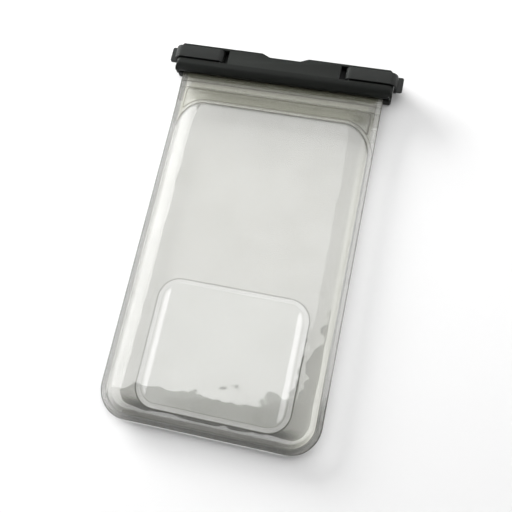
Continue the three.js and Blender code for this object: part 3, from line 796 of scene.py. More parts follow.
def line_group():
    """A thin pressed line, as a mask, where a distance is near a place."""
    group, given, result = new_group(
        "Pressed Line", {"Distance": 0.0, "Place": 0.0, "Half Width": 0.2}, ["Mask"]
    )
    w = Wiring(group)
    away = w.math("SUBTRACT", given.outputs["Distance"], given.outputs["Place"])
    away = w.math("ABSOLUTE", away)
    outer = w.math("MULTIPLY", given.outputs["Half Width"], 1.5)
    inner = w.math("MULTIPLY", given.outputs["Half Width"], 0.5)
    w.put(result.inputs["Mask"], w.span(away, inner, outer, 1.0, 0.0))
    return group


def film_skin_group():
    """The skin of soft film: faint haze patches, uneven roughness and small ripples.

    Patch Size is the patches' number in a metre.
    """
    group, given, result = new_group(
        "Film Skin",
        {"Haze": FILM_HAZE, "Patch Size": 60.0, "Roughness": 0.02},
        ["Haze", "Roughness", "Height"],
    )
    w = Wiring(group)
    place = w.place()
    patches = w.noise(place, given.outputs["Patch Size"], 3.0, 0.55)
    haze = w.math("MULTIPLY", w.span(patches, 0.35, 0.75), given.outputs["Haze"])
    w.put(result.inputs["Haze"], haze)
    rough = w.math("MULTIPLY", patches, 0.06)
    w.put(result.inputs["Roughness"], w.math("ADD", rough, given.outputs["Roughness"], True))
    ripples = w.noise(place, 70.0, 1.0, 0.3)
    w.put(result.inputs["Height"], ripples)
    return group


def moulded_group():
    """The skin of moulded plastic: fine spark-eroded grain, faint cloudiness, polished edges and
    painted sheen on them.

    Grain Size is the grains' number in a metre.
    """
    group, given, result = new_group(
        "Moulded Skin",
        {
            "Colour": (0.03, 0.03, 0.03, 1),
            "Roughness": 0.45,
            "Grain Size": 2600.0,
            "Edge Polish": 0.12,
        },
        ["Colour", "Roughness", "Height"],
    )
    w = Wiring(group)
    place = w.place()
    cloud = w.noise(place, 90.0, 4.0, 0.6)
    grain = w.noise(place, given.outputs["Grain Size"], 3.0, 0.65)
    point = w.add("ShaderNodeNewGeometry").outputs["Pointiness"]
    edge = w.span(point, 0.52, 0.6)
    shade = w.math("ADD", w.math("MULTIPLY", cloud, 0.3), w.math("MULTIPLY", grain, 0.3))
    shade = w.math("ADD", shade, 0.7)
    # Painted sheen: sharp convex edges are made lighter in colour
    shade = w.math("ADD", shade, w.math("MULTIPLY", edge, 0.35))
    tone = w.add("ShaderNodeVectorMath", {0: given.outputs["Colour"]}, operation="SCALE")
    w.put(tone.inputs["Scale"], shade)
    w.put(result.inputs["Colour"], tone.outputs[0])
    worn = w.math("MULTIPLY", edge, given.outputs["Edge Polish"])
    rough = w.math("ADD", given.outputs["Roughness"], w.math("MULTIPLY", cloud, 0.08))
    w.put(result.inputs["Roughness"], w.math("SUBTRACT", rough, worn, True))
    w.put(result.inputs["Height"], grain)
    return group


def new_material(name):
    """A node material with its shader and the wiring to add to it."""
    material = bpy.data.materials.new(name)
    material.use_nodes = True
    shader = material.node_tree.nodes["Principled BSDF"]
    return material, shader, Wiring(material.node_tree)


def bumped(w, shader, height, distance):
    node = w.add("ShaderNodeBump", {"Height": height, "Distance": distance, "Strength": 1.0})
    w.put(shader.inputs["Normal"], node.outputs["Normal"])


def placed_group(w, group, **values):
    node = w.add("ShaderNodeGroup", node_tree=group)
    for name, value in values.items():
        w.put(node.inputs[name.replace("_", " ").title()], value)
    return node


def union_of(w, masks):
    whole = masks[0]
    for mask in masks[1:]:
        whole = w.math("MAXIMUM", whole, mask)
    return whole


def moulded_material(name, colour, roughness, gloss):
    material, shader, w = new_material(name)
    skin = placed_group(
        w, bpy.data.node_groups["Moulded Skin"], colour=(*colour, 1), roughness=roughness
    )
    w.put(shader.inputs["Base Color"], skin.outputs["Colour"])
    w.put(shader.inputs["Roughness"], skin.outputs["Roughness"])
    shader.inputs["IOR"].default_value = CLIP_IOR
    shader.inputs["Specular IOR Level"].default_value = gloss
    bumped(w, shader, skin.outputs["Height"], 0.00003)
    return material


def steel_material():
    material, shader, w = new_material("drawn steel")
    lines = w.noise(w.place((4000, 120, 4000)), 1.0, 3.0)
    w.put(shader.inputs["Base Color"], w.mix(lines, (0.52, 0.53, 0.54, 1), (0.68, 0.69, 0.70, 1)))
    w.put(shader.inputs["Roughness"], w.span(lines, 0.2, 0.8, 0.18, 0.34))
    shader.inputs["Metallic"].default_value = 1.0
    bumped(w, shader, lines, 0.000005)
    return material


def zip_material():
    material, shader, w = new_material("press seal plastic")
    skin = placed_group(
        w,
        bpy.data.node_groups["Moulded Skin"],
        colour=(0.36, 0.36, 0.31, 1),
        roughness=0.3,
        grain_size=700.0,
    )
    w.put(shader.inputs["Base Color"], skin.outputs["Colour"])
    w.put(shader.inputs["Roughness"], skin.outputs["Roughness"])
    shader.inputs["Alpha"].default_value = 0.75
    bumped(w, shader, skin.outputs["Height"], 0.00002)
    return material


class Line(NamedTuple):
    """A thin dark line where a kept distance has one value. Lengths in millimetres.

    share: the name of a second kept value, from 0 to 1, that says where the line shows.
    """

    distance: str
    place: float
    half_width: float
    darkness: float
    share: str = ""


class Band(NamedTuple):
    """A stretch of a kept distance where the film has another tint and hides more or less.

    share: as in Line. matt: the least roughness inside the band.
    """

    distance: str
    start: float
    end: float
    softness: float
    cover: float
    tint: tuple
    share: str = ""
    matt: float = 0.0


def shared(w, mask, share):
    return w.math("MULTIPLY", mask, w.distance(share)) if share else mask


def laid_over(w, mask, value, new):
    """A value, and a new one where the mask is."""
    kept = w.math("MULTIPLY", value, w.math("SUBTRACT", 1.0, mask))
    return w.math("ADD", kept, w.math("MULTIPLY", mask, new), True)


def film_material(name, tint, cover, lines, bands, gloss_ior, fade=None):
    """See-through film with pressed lines and bands of another tint.

    gloss_ior: above the film's own 1.5 or so, because a face that hides little is also given
    little gloss, while real clear film is as glossy as a solid.
    fade: (from, to) along the pouch, where the welded edge of the film thins out.
    """
    material, shader, w = new_material(name)
    skin = placed_group(w, bpy.data.node_groups["Film Skin"])
    line_nodes = bpy.data.node_groups["Pressed Line"]
    masks = []
    for line in lines:
        node = placed_group(
            w,
            line_nodes,
            distance=read(w, line.distance),
            place=line.place,
            half_width=line.half_width,
        )
        mask = shared(w, node.outputs["Mask"], line.share)
        masks.append(w.math("MULTIPLY", mask, line.darkness))
    alpha = w.math("ADD", skin.outputs["Haze"], cover)
    rough = skin.outputs["Roughness"]
    colour = (*tint, 1)
    for band in bands:
        value = read(w, band.distance)
        inside = w.math(
            "MULTIPLY",
            w.span(value, band.start, band.start + band.softness),
            w.span(value, band.end - band.softness, band.end, 1.0, 0.0),
        )
        inside = shared(w, inside, band.share)
        colour = w.mix(inside, colour, (*band.tint, 1))
        alpha = laid_over(w, inside, alpha, band.cover)
        if band.matt:
            rough = w.math("MAXIMUM", rough, w.math("MULTIPLY", inside, band.matt))
    dark = union_of(w, masks)
    colour = w.mix(dark, colour, (*LINE_TINT, 1))
    alpha = laid_over(w, dark, alpha, LINE_COVER)
    if fade:
        welded = w.span(read(w, "edge"), WELD_WIDTH, WELD_WIDTH + 0.4, 1.0, 0.0)
        thinned = w.math("MULTIPLY", welded, w.span(read(w, "y"), *fade, 0.95, 0.0))
        alpha = w.math("MULTIPLY", alpha, w.math("SUBTRACT", 1.0, thinned))
    w.put(shader.inputs["Base Color"], colour)
    w.put(shader.inputs["Alpha"], alpha)
    rough = w.math("MAXIMUM", rough, w.math("MULTIPLY", dark, LINE_MATT))
    w.put(shader.inputs["Roughness"], rough)
    shader.inputs["IOR"].default_value = gloss_ior
    shader.inputs["Specular IOR Level"].default_value = 1.0
    bumped(w, shader, skin.outputs["Height"], 0.00002)
    return material


def read(w, distance):
    """A kept distance in millimetres, or the place along the pouch for the name y."""
    if distance != "y":
        return w.distance(distance)
    return w.math("MULTIPLY", w.along("Y"), 1 / MM)


# Colours of the films' marks, and how much these hide
LINE_TINT = (0.045, 0.045, 0.035)
# Painted shade along the foot
PAINTED_FOOT_SHADE_TINT = (0.05, 0.05, 0.041)
# Pale tint: painted highlights on the foot's cut edge and in the back window's side strips, and the
# pale lap round the back film's opening
PALE_LAP_AND_HIGHLIGHT_TINT = (0.9, 0.9, 0.87)
SEAL_TINT = (0.33, 0.33, 0.268)
# Painted light that makes the weld paler at the right side and the foot
PAINTED_LIT_WELD_TINT = (0.80, 0.80, 0.73)
BACK_WINDOW_TINT = (0.36, 0.37, 0.31)
BACK_WINDOW_COVER = 0.27
LINE_COVER = 0.85
LINE_MATT = 0.7
FILM_HAZE = 0.02
FRONT_GLOSS_IOR = 4.5
SMOKE_GLOSS_IOR = 1.6
BACK_GLOSS_IOR = 1.9
SIDE_LINES = [
    Line("edge", 0.25, 0.2, 0.85),
    Line("edge", 1.25, 0.12, 0.3),
    Line("edge", 1.95, 0.12, 0.3),
    Line("edge", 3.0, 0.16, 0.5),
]
FOOT_LINES = [Line("edge", place, 0.14, 0.6, "foot_share") for place in (0.8, 1.5, 5.6, 6.3)]


# The pieces


def film_grid(columns, rows):
    """Places of the film's points, drawn in at the rounded corners of the foot."""
    y = np.repeat(rows[:, None], len(columns), axis=1)
    x = columns[None, :] * half_width_at(y) / FILM_HALF_WIDTH
    return x, y


def film_columns(step):
    half = stations(
        [0, FILM_HALF_WIDTH - SWELL_END, FILM_HALF_WIDTH - STEEP_END, WELD_LINE_X, FILM_HALF_WIDTH],
        [step, step * 0.6, 0.5, 0.25],
    )
    return np.concatenate([-half[:0:-1], half])


def foot_rows(step):
    weld = FOOT_Y + WELD_WIDTH * np.linspace(0, 1, 13) ** 2
    above = stations(
        [FOOT_Y + WELD_WIDTH, FOOT_Y + STEEP_END, FOOT_Y + SWELL_END], [0.5, step * 0.6]
    )
    return np.concatenate([weld[:-1], above])


def build_front_window(settings, step, material):
    rows = np.concatenate([foot_rows(step), stations([FOOT_Y + SWELL_END, LAP_TOP_Y], [step])[1:]])
    x, y = film_grid(film_columns(step), rows)
    low = front_underside(x, y) + front_ripple(x, y, settings) + WELD_SKIN_GAP
    high = low + FILM_THICKNESS + weld_ridges(x, y)
    window = sheet_object("front_window_film", x, y, low, high)
    marks = {"edge": edge_distance, "fold_share": fold_share, "foot_share": foot_share}
    finished_film(window, material, "clear_film", "front_window", **marks)


def build_front_panel(settings, step, material):
    arc_x = WELD_LINE_X - WINDOW_CORNER_RADIUS
    bend = np.linspace(0, math.pi / 2, 31)
    half = np.concatenate(
        [
            stations([0, arc_x], [step])[:-1],
            arc_x + WINDOW_CORNER_RADIUS * np.sin(bend),
            stations([WELD_LINE_X, FILM_HALF_WIDTH], [0.25])[1:],
        ]
    )
    columns = np.concatenate([-half[:0:-1], half])
    inside = np.clip(np.abs(columns) - arc_x, 0, WINDOW_CORNER_RADIUS)
    foot = PANEL_FOOT_Y + np.sqrt(WINDOW_CORNER_RADIUS**2 - inside**2)
    foot = np.where(np.abs(columns) >= WELD_LINE_X - 1e-9, PANEL_FOOT_Y, foot)
    lower = np.linspace(0, 1, 17)[:, None]
    bent = foot[None, :] + (PANEL_BENT_HEAD_Y - foot[None, :]) * lower
    straight = stations(
        [PANEL_BENT_HEAD_Y, ZIP_FOOT_Y - 1, ZIP_HEAD_Y + 1, *CLAMPED_ROWS],
        [1.0, 0.25, 0.8, *CLAMPED_STEPS],
    )[1:]
    y = np.concatenate([bent, np.repeat(straight[:, None], len(columns), axis=1)])
    x = np.repeat(columns[None, :], len(y), axis=0)
    low = panel_underside(x, y) + front_ripple(x, y, settings) + WELD_SKIN_GAP
    groove = sum(
        np.exp(-((away / GROOVE_RUN) ** 2)) for away in (y - ZIP_HEAD_Y, field_distance(x, y))
    )
    groove = groove * smooth((edge_distance(x, y) - WELD_WIDTH) / 1.5)
    high = low + FILM_THICKNESS + weld_ridges(x, y) - GROOVE_DEPTH * groove
    panel = sheet_object("front_top_film", x, y, low, high)
    marks = {"edge": edge_distance, "fold_share": fold_share}
    marks |= {"ring": window_distance, "field": field_distance}
    finished_film(panel, material, "smoke_film", "front_top_panel", **marks)


class POUCH_OT_front_films(bpy.types.Operator):
    """Builds the clear front window and the smoke-grey panel above it"""

    bl_idname = "pouch.front_films"
    bl_label = "Front Films"

    def execute(self, context):
        settings = context.scene.pouch_film
        step = settings.mesh_step / MM
        clear = film_material(
            "clear film",
            settings.clear_tint,
            settings.clear_cover,
            [Line("edge", WELD_WIDTH, 0.12, 0.15)],
            [
                Band("edge", -1.0, 2.95, 0.25, 0.07, settings.weld_tint),
                # Painted light: a paler weld at the right side and the foot
                Band("edge", 0.45, 2.1, 0.2, 0.16, PAINTED_LIT_WELD_TINT, "fold_share", 0.2),
                # Painted shade along the foot
                Band("edge", -1.0, 5.5, 0.7, 0.035, PAINTED_FOOT_SHADE_TINT, "foot_share"),
                # Painted highlight on the foot's cut edge
                Band("edge", -1.0, 0.3, 0.1, 0.6, PALE_LAP_AND_HIGHLIGHT_TINT, "foot_share", 0.7),
            ],
            FRONT_GLOSS_IOR,
        )
        smoke = film_material(
            "smoke film",
            settings.smoke_tint,
            settings.smoke_cover,
            [
                Line("y", ZIP_FOOT_Y, 0.2, 0.6),
                Line("y", ZIP_HEAD_Y, 0.26, 0.8),
                Line("ring", 0.25, 0.27, 0.95),
                Line("ring", WINDOW_LAP, 0.16, 0.4),
                Line("field", 0.0, 0.26, 0.8),
            ],
            [
                Band("y", ZIP_FOOT_Y, ZIP_HEAD_Y, 0.25, 0.22, SEAL_TINT, "", 0.2),
                Band("ring", -1.0, WINDOW_LAP, 0.25, 0.2, SEAL_TINT, "", 0.2),
                Band("edge", -1.0, 2.95, 0.25, 0.1, settings.weld_tint),
                # Painted light: a paler weld at the right side and the foot
                Band("edge", 0.45, 2.7, 0.2, 0.16, PAINTED_LIT_WELD_TINT, "fold_share", 0.2),
            ],
            SMOKE_GLOSS_IOR,
            fade=(PANEL_FOOT_Y, LAP_TOP_Y),
        )
        build_front_window(settings, step, clear)
        build_front_panel(settings, step, smoke)
        return {"FINISHED"}


def build_back_panel(step, material):
    above = stations(
        [FOOT_Y + SWELL_END, BACK_OPENING_HEAD_Y + 12, 62, *CLAMPED_ROWS],
        [step, step * 1.5, 1.0, *CLAMPED_STEPS],
    )
    rows = np.concatenate([foot_rows(step), above[1:]])
    x, y = film_grid(film_columns(step), rows)
    inward = edge_distance(x, y) - WELD_WIDTH
    wave = BACK_WAVE * (1 + noise_at(x, y, 26, 11.5)) * smooth(inward / 8)
    wave = wave * smooth(back_opening_distance(x, y) / 12)
    low = back_underside(x, y) + wave - BACK_RIDGE_SHARE * weld_ridges(x, y)
    high = back_underside(x, y) + wave + FILM_THICKNESS
    panel = sheet_object("back_film", x, y, low, high)
    corners = [
        (-BACK_OPENING_X, BACK_OPENING_FOOT_Y, BACK_OPENING_RADIUS),
        (BACK_OPENING_X, BACK_OPENING_FOOT_Y, BACK_OPENING_RADIUS),
        (BACK_OPENING_X, BACK_OPENING_HEAD_Y, BACK_OPENING_RADIUS),
        (-BACK_OPENING_X, BACK_OPENING_HEAD_Y, BACK_OPENING_RADIUS),
    ]
    without(panel, prism("opening", outline(corners, 14), "Z", -CUT_MARGIN, CUT_MARGIN))
    marks = {"edge": edge_distance, "ring": back_opening_distance, "foot_share": foot_share}
    finished_film(panel, material, "smoke_film", "back_panel", **marks)


def build_back_window(step, material):
    reach = BACK_WINDOW_LAP
    half_width = BACK_OPENING_X + reach
    foot = BACK_OPENING_FOOT_Y - reach
    head = BACK_OPENING_HEAD_Y + reach
    radius = BACK_OPENING_RADIUS + reach
    bend = radius * (1 - np.cos(np.linspace(0, math.pi / 2, 16)))
    middle = stations([foot + radius, head - radius], [step])[1:-1]
    rows = np.concatenate([foot + bend, middle, head - bend[::-1]])
    y = np.repeat(rows[:, None], BACK_WINDOW_COLUMNS, axis=1)
    into = np.maximum(radius - np.minimum(y - foot, head - y), 0)
    width = half_width - radius + np.sqrt(np.maximum(radius**2 - into**2, 0))
    x = np.linspace(-1, 1, BACK_WINDOW_COLUMNS)[None, :] * width
    wave = BACK_WINDOW_WAVE * (1 + noise_at(x, y, 17, 21.5))
    wave = wave * smooth(-back_opening_distance(x, y) / 10)
    low = np.full(x.shape, FILM_THICKNESS + WELD_SKIN_GAP) + wave
    window = sheet_object("back_window_film", x, y, low, low + FILM_THICKNESS)
    marks = {"ring": back_opening_distance, "strip": highlight_strip_distance}
    finished_film(window, material, "clear_film", "back_window", **marks)


class POUCH_OT_back_films(bpy.types.Operator):
    """Builds the smoke-grey back film with its opening and the small clear window over it"""

    bl_idname = "pouch.back_films"
    bl_label = "Back Films"

    def execute(self, context):
        settings = context.scene.pouch_film
        step = settings.mesh_step / MM
        smoke = film_material(
            "smoke back film",
            settings.smoke_tint,
            settings.back_cover,
            SIDE_LINES + FOOT_LINES + [Line("ring", BACK_WINDOW_LAP + 0.1, 0.2, 0.85)],
            [
                # Painted shade along the foot
                Band("edge", -1.0, 15.0, 5.0, 0.5, PAINTED_FOOT_SHADE_TINT, "foot_share", 0.6),
                Band("edge", -1.0, 2.95, 0.25, 0.48, settings.weld_tint),
                # More painted shade over the foot's weld and just inside it
                Band("edge", 0.0, 2.7, 0.3, 0.55, PAINTED_FOOT_SHADE_TINT, "foot_share", 0.4),
                Band("edge", 2.7, 5.3, 0.7, 0.8, PAINTED_FOOT_SHADE_TINT, "foot_share", 0.4),
                Band("ring", 0.0, BACK_WINDOW_LAP, 0.25, 0.06, PALE_LAP_AND_HIGHLIGHT_TINT),
            ],
            SMOKE_GLOSS_IOR,
        )
        clear = film_material(
            "clear back film",
            BACK_WINDOW_TINT,
            BACK_WINDOW_COVER,
            [Line("ring", BACK_WINDOW_LAP - 0.1, 0.12, 0.5)],
            [
                Band("ring", 0.0, BACK_WINDOW_LAP, 0.3, 0.14, SEAL_TINT),
                # Painted highlight strips inside the two sides
                Band("strip", -20.0, 0.0, 0.4, 0.3, PALE_LAP_AND_HIGHLIGHT_TINT),
            ],
            BACK_GLOSS_IOR,
        )
        build_back_panel(step, smoke)
        build_back_window(step, clear)
        return {"FINISHED"}


class POUCH_OT_press_seal(bpy.types.Operator):
    """Builds the two strips of the press seal inside the mouth"""

    bl_idname = "pouch.press_seal"
    bl_label = "Press Seal"

    def execute(self, context):
        material = zip_material()
        height = 2 * ZIP_BASE + ZIP_RIB_HEIGHT + ZIP_CLEARANCE
        foot = float(weld_plane(np.array(ZIP_MIDDLE_Y))) - height / 2
        base = foot + ZIP_BASE
        rib = [
            (ZIP_HALF_WIDTH, foot),
            (ZIP_HALF_WIDTH, base),
            (ZIP_NECK / 2, base),
            (ZIP_RIB_WIDTH / 2, base + ZIP_RIB_HEIGHT),
        ]
        head = foot + height
        crown = head - ZIP_BASE
        tip = base + ZIP_CLEARANCE
        throat = ZIP_RIB_WIDTH / 2 + ZIP_CLEARANCE
        claws = [
            (ZIP_HALF_WIDTH, head),
            (ZIP_HALF_WIDTH, crown),
            (throat + ZIP_CLAW, crown),
            (throat + ZIP_CLAW, tip),
            (ZIP_NECK / 2 + ZIP_CLEARANCE, tip),
            (throat, crown),
        ]
        for name, half, node in (
            ("seal_rib_strip", rib, "zip_strip_back"),
            ("seal_claw_strip", claws, "zip_strip_front"),
        ):
            section = [(ZIP_MIDDLE_Y - y, z) for y, z in half]
            section += [(ZIP_MIDDLE_Y + y, z) for y, z in reversed(half)]
            strip = prism(name, section, "X", -ZIP_HALF_LENGTH, ZIP_HALF_LENGTH)
            finished_solid(strip, 0.04 * MM)
            dress(strip, material, "pouch", "zip_plastic", node)
        return {"FINISHED"}


def clip_plan(steps):
    x = CLIP_HALF_LENGTH
    return outline(
        [
            (-x, CLIP_FOOT_Y, CLIP_FOOT_CORNER),
            (x, CLIP_FOOT_Y, CLIP_FOOT_CORNER),
            (x, CLIP_HEAD_Y - CLIP_CHAMFER_Y),
            (x - CLIP_CHAMFER_X, CLIP_HEAD_Y),
            (-x + CLIP_CHAMFER_X, CLIP_HEAD_Y),
            (-x, CLIP_HEAD_Y - CLIP_CHAMFER_Y),
        ],
        steps,
    )


def build_back_jaw(settings):
    steps = settings.arc_steps
    section = outline(
        [
            (CLIP_FOOT_Y, 0, BACK_JAW_ROUND),
            (CLIP_HEAD_Y, 0, BACK_JAW_ROUND),
            (CLIP_HEAD_Y, BACK_JAW_HEIGHT),
            (CLIP_FOOT_Y, BACK_JAW_HEIGHT, BACK_JAW_ROUND),
        ],
        steps,
    )
    jaw = prism("back_jaw", section, "X", -CLIP_HALF_LENGTH, CLIP_HALF_LENGTH)
    plan = prism("plan", clip_plan(steps), "Z", -CUT_MARGIN, FRONT_FACE_Z)
    combined(jaw, plan, "INTERSECT")
    rib = block(
        -FILM_HALF_WIDTH,
        FILM_HALF_WIDTH,
        SEAL_RIB_Y - RIB_HALF,
        SEAL_RIB_Y + RIB_HALF,
        BACK_JAW_HEIGHT - BACK_JAW_ROUND,
        RIB_TOP,
    )
    joined(jaw, rib)
    knuckle = rod("X", NOSE_RADIUS, EAR_INNER_X, CLIP_HALF_LENGTH, HINGE_Y, HINGE_Z)
    stem = block(
        EAR_INNER_X,
        CLIP_HALF_LENGTH,
        HINGE_Y - EAR_STEM_HALF,
        HINGE_Y + EAR_STEM_HALF / 2,
        BACK_JAW_HEIGHT - BACK_JAW_ROUND,
        HINGE_Z,
    )
    joined(knuckle, stem)
    bore = rod("X", PIN_RADIUS + PIN_TIGHT, EAR_INNER_X - 1, CLIP_HALF_LENGTH + 1, HINGE_Y, HINGE_Z)
    without(knuckle, bore)
    recess = block(
        CLIP_HALF_LENGTH - CATCH_DEPTH,
        CLIP_HALF_LENGTH + CUT_MARGIN,
        LATCH_FOOT_Y - TAB_OVERHANG,
        SLOT_HEAD_Y,
        CATCH_FOOT,
        CATCH_TOP,
    )
    other_knuckle = mirrored_tool(knuckle)
    other_recess = mirrored_tool(recess)
    joined(jaw, knuckle, other_knuckle)
    return without(jaw, recess, other_recess)


def front_section(steps):
    edge = FRONT_EDGE_ROUND
    shape = [
        (HINGE_Y, JAW_UNDERSIDE),
        (SKIRT_Y, JAW_UNDERSIDE),
        (SKIRT_Y, PARTING_Z),
        (CLIP_HEAD_Y, PARTING_Z),
    ]
    shape += arc(CLIP_HEAD_Y - edge, FRONT_FACE_Z - edge, edge, 0, math.pi / 2, steps // 2)
    rise = (FRONT_FACE_Z - HINGE_Z) / SHOULDER_RUN
    shape += arc(SHOULDER_Y, HINGE_Z, SHOULDER_RUN, math.pi / 2, math.pi, 2 * steps, squash=rise)
    nose = arc(HINGE_Y, HINGE_Z, NOSE_RADIUS, math.pi, 1.5 * math.pi, steps)
    return shape + nose[1:-1]


def build_front_jaw(settings):
    steps = settings.arc_steps
    reach = CLIP_HALF_LENGTH
    jaw = prism("front_jaw", front_section(steps), "X", -reach, reach)
    plan = prism("plan", clip_plan(steps), "Z", 0, FRONT_FACE_Z + CUT_MARGIN)
    combined(jaw, plan, "INTERSECT")
    edge_on = outline(
        [
            (-reach, 0),
            (reach, 0),
            (reach, FRONT_FACE_Z, CLIP_END_ROUND),
            (-reach, FRONT_FACE_Z, CLIP_END_ROUND),
        ],
        steps,
    )
    ends = prism("ends", edge_on, "Y", CLIP_FOOT_Y - CUT_MARGIN, CLIP_HEAD_Y + CUT_MARGIN)
    combined(jaw, ends, "INTERSECT")
    recess = block(
        -FILM_RECESS_X, FILM_RECESS_X, CLIP_FOOT_Y - CUT_MARGIN, FILM_RECESS_Y, 0, JAW_UNDERSIDE
    )
    groove = block(
        -FILM_RECESS_X,
        FILM_RECESS_X,
        SEAL_RIB_Y - GROOVE_HALF,
        SEAL_RIB_Y + GROOVE_HALF,
        0,
        JAW_UNDERSIDE + SEAL_FILM_RISE,
    )
    notch = prism(
        "notch",
        [
            (-NOTCH_FLOOR_X, CLIP_HEAD_Y - NOTCH_DEPTH),
            (NOTCH_FLOOR_X, CLIP_HEAD_Y - NOTCH_DEPTH),
            (NOTCH_TOP_X, CLIP_HEAD_Y),
            (NOTCH_TOP_X, CLIP_HEAD_Y + CUT_MARGIN),
            (-NOTCH_TOP_X, CLIP_HEAD_Y + CUT_MARGIN),
            (-NOTCH_TOP_X, CLIP_HEAD_Y),
        ],
        "Z",
        0,
        FRONT_FACE_Z + CUT_MARGIN,
    )
    without(jaw, recess, groove, notch)
    for cut in side_cuts():
        other = mirrored_tool(cut)
        without(jaw, cut, other)
    return jaw


def side_cuts():
    top = FRONT_FACE_Z + CUT_MARGIN
    outer = CLIP_HALF_LENGTH + CUT_MARGIN
    return [
        block(SLOT_INNER_X, outer, SLOT_FOOT_Y, SLOT_HEAD_Y, SLOT_FLOOR, top),
        block(SLOT_INNER_X, EYE_POCKET_X, SLOT_FOOT_Y, SLOT_HEAD_Y, EYE_POCKET_FLOOR, top),
        rod("Y", PIN_RADIUS + PIN_TIGHT, LATCH_BORE_FOOT_Y, CLIP_HEAD_Y + 1, EYE_X, EYE_Z),
        rod("X", NOSE_RADIUS + EAR_GAP, EAR_INNER_X - EAR_GAP, outer, HINGE_Y, HINGE_Z),
        block(EAR_INNER_X - EAR_GAP, outer, CLIP_FOOT_Y - CUT_MARGIN, SKIRT_Y, 0, HINGE_Z),
        rod("X", PIN_RADIUS + PIN_RUNNING, HINGE_BORE_INNER_X, outer, HINGE_Y, HINGE_Z),
    ]


class POUCH_OT_clip_jaws(bpy.types.Operator):
    """Builds the two moulded jaws of the clip"""

    bl_idname = "pouch.clip_jaws"
    bl_label = "Clip Jaws"

    def execute(self, context):
        settings = context.scene.pouch_clip
        material = moulded_material("clip plastic", settings.clip_colour, roughness=0.5, gloss=0.26)
        back = build_back_jaw(settings)
        finished_solid(back, settings.edge_round)
        dress(back, material, "pouch", "clip_plastic", "clip_back_jaw")
        front = build_front_jaw(settings)
        finished_solid(front, settings.edge_round)
        dress(front, material, "front_jaw", "clip_plastic", "clip_front_jaw")
        return {"FINISHED"}


def build_right_latch(settings):
    steps = settings.arc_steps
    eye_start = math.pi / 2 + CROWN_TURN
    under = math.asin((LATCH_UNDERSIDE - EYE_Z) / EYE_RADIUS)
    shape = arc(CROWN_X, CROWN_Z, CROWN_RADIUS, math.pi / 2, eye_start, steps)
    shape += arc(EYE_X, EYE_Z, EYE_RADIUS, eye_start, 2 * math.pi + under, 3 * steps)[1:]
    fillet_z = LATCH_UNDERSIDE - END_FILLET
    shape += arc(END_INNER_X - END_FILLET, fillet_z, END_FILLET, math.pi / 2, 0, steps)
    shape += [
        (END_INNER_X, HOOK_FOOT + HOOK_LIP_HEIGHT),
        (END_INNER_X - HOOK_LIP, HOOK_FOOT + HOOK_LIP_HEIGHT),
        (END_INNER_X - HOOK_LIP, HOOK_FOOT),
        (END_OUTER_X, HOOK_FOOT),
    ]
    shape += arc(
        END_OUTER_X - END_ROUND, LATCH_TOP - END_ROUND, END_ROUND, 0, math.pi / 2, 2 * steps
    )
    latch = prism("latch_right", shape, "Y", LATCH_FOOT_Y, LATCH_HEAD_Y)
    tab_foot = LATCH_FOOT_Y - TAB_OVERHANG
    tab_head = LATCH_HEAD_Y + TAB_OVERHANG
    inner = (END_INNER_X + END_OUTER_X) / 2
    plan = outline(
        [
            (inner, tab_foot),
            (TAB_OUTER_X, tab_foot, TAB_ROUND),
            (TAB_OUTER_X, tab_head, TAB_ROUND),
            (inner, tab_head),
        ],
        steps,
    )
    joined(latch, prism("tab", plan, "Z", TAB_FOOT, TAB_TOP))
    bore = rod("Y", PIN_RADIUS + PIN_RUNNING, LATCH_FOOT_Y - 1, LATCH_HEAD_Y + 1, EYE_X, EYE_Z)
    return without(latch, bore)


class POUCH_OT_latches(bpy.types.Operator):
    """Builds the two hinged latches with their finger tabs"""

    bl_idname = "pouch.latches"
    bl_label = "Latches"

    def execute(self, context):
        settings = context.scene.pouch_clip
        colour = settings.latch_colour
        material = moulded_material("latch plastic", colour, roughness=0.36, gloss=0.4)
        right = build_right_latch(settings)
        finished_solid(right, settings.edge_round * 1.4, 3)
        left = mirrored_tool(right)
        left.name = "latch_left"
        dress(right, material, "right_latch", "latch_plastic", "right_latch")
        dress(left, material, "left_latch", "latch_plastic", "left_latch")
        return {"FINISHED"}


class POUCH_OT_pins(bpy.types.Operator):
    """Gives the four steel pins their finish"""

    bl_idname = "pouch.pins"
    bl_label = "Pins"

    def execute(self, context):
        material = steel_material()
        for side in ("left", "right"):
            for kind in ("latch", "hinge"):
                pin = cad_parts[f"{side}_{kind}_pin"]
                pin.data.materials.clear()
                pin.data.materials.append(material)
        return {"FINISHED"}


class Lamp(NamedTuple):
    """A rectangle of light, in metres.

    strength: the name of its setting. back: where its back is turned. edge: the way in which its
    long side lies, seen from above. mirrored: whether the film and the clip mirror it.
    """

    name: str
    strength: str
    place: tuple
    back: tuple
    edge: tuple
    size: tuple
    mirrored: bool = True


STRAIGHT_UP = (0, 0, 1)
LEVEL_LEFT = (-0.94, 0.34, 0.0)
LEFT_PLACE = (-1.12, 0.40, 0.40)
LOW_PLACE = (-0.90, 0.60, 0.22)
LAMPS = (
    Lamp("key lamp", "key_strength", (-0.91, 0.58, 1.0), STRAIGHT_UP, (0.97, 0.25), (2.75, 1.58)),
    Lamp("side lamp", "side_strength", (1.03, 0.83, 1.0), STRAIGHT_UP, (0.967, 0.257), (1.56, 1.3)),
    Lamp("left lamp", "left_strength", LEFT_PLACE, LEVEL_LEFT, (0.34, 0.94), (1.3, 0.8)),
    Lamp("low lamp", "low_strength", LOW_PLACE, LOW_PLACE, (0.55, 0.83), (0.7, 0.24), False),
)


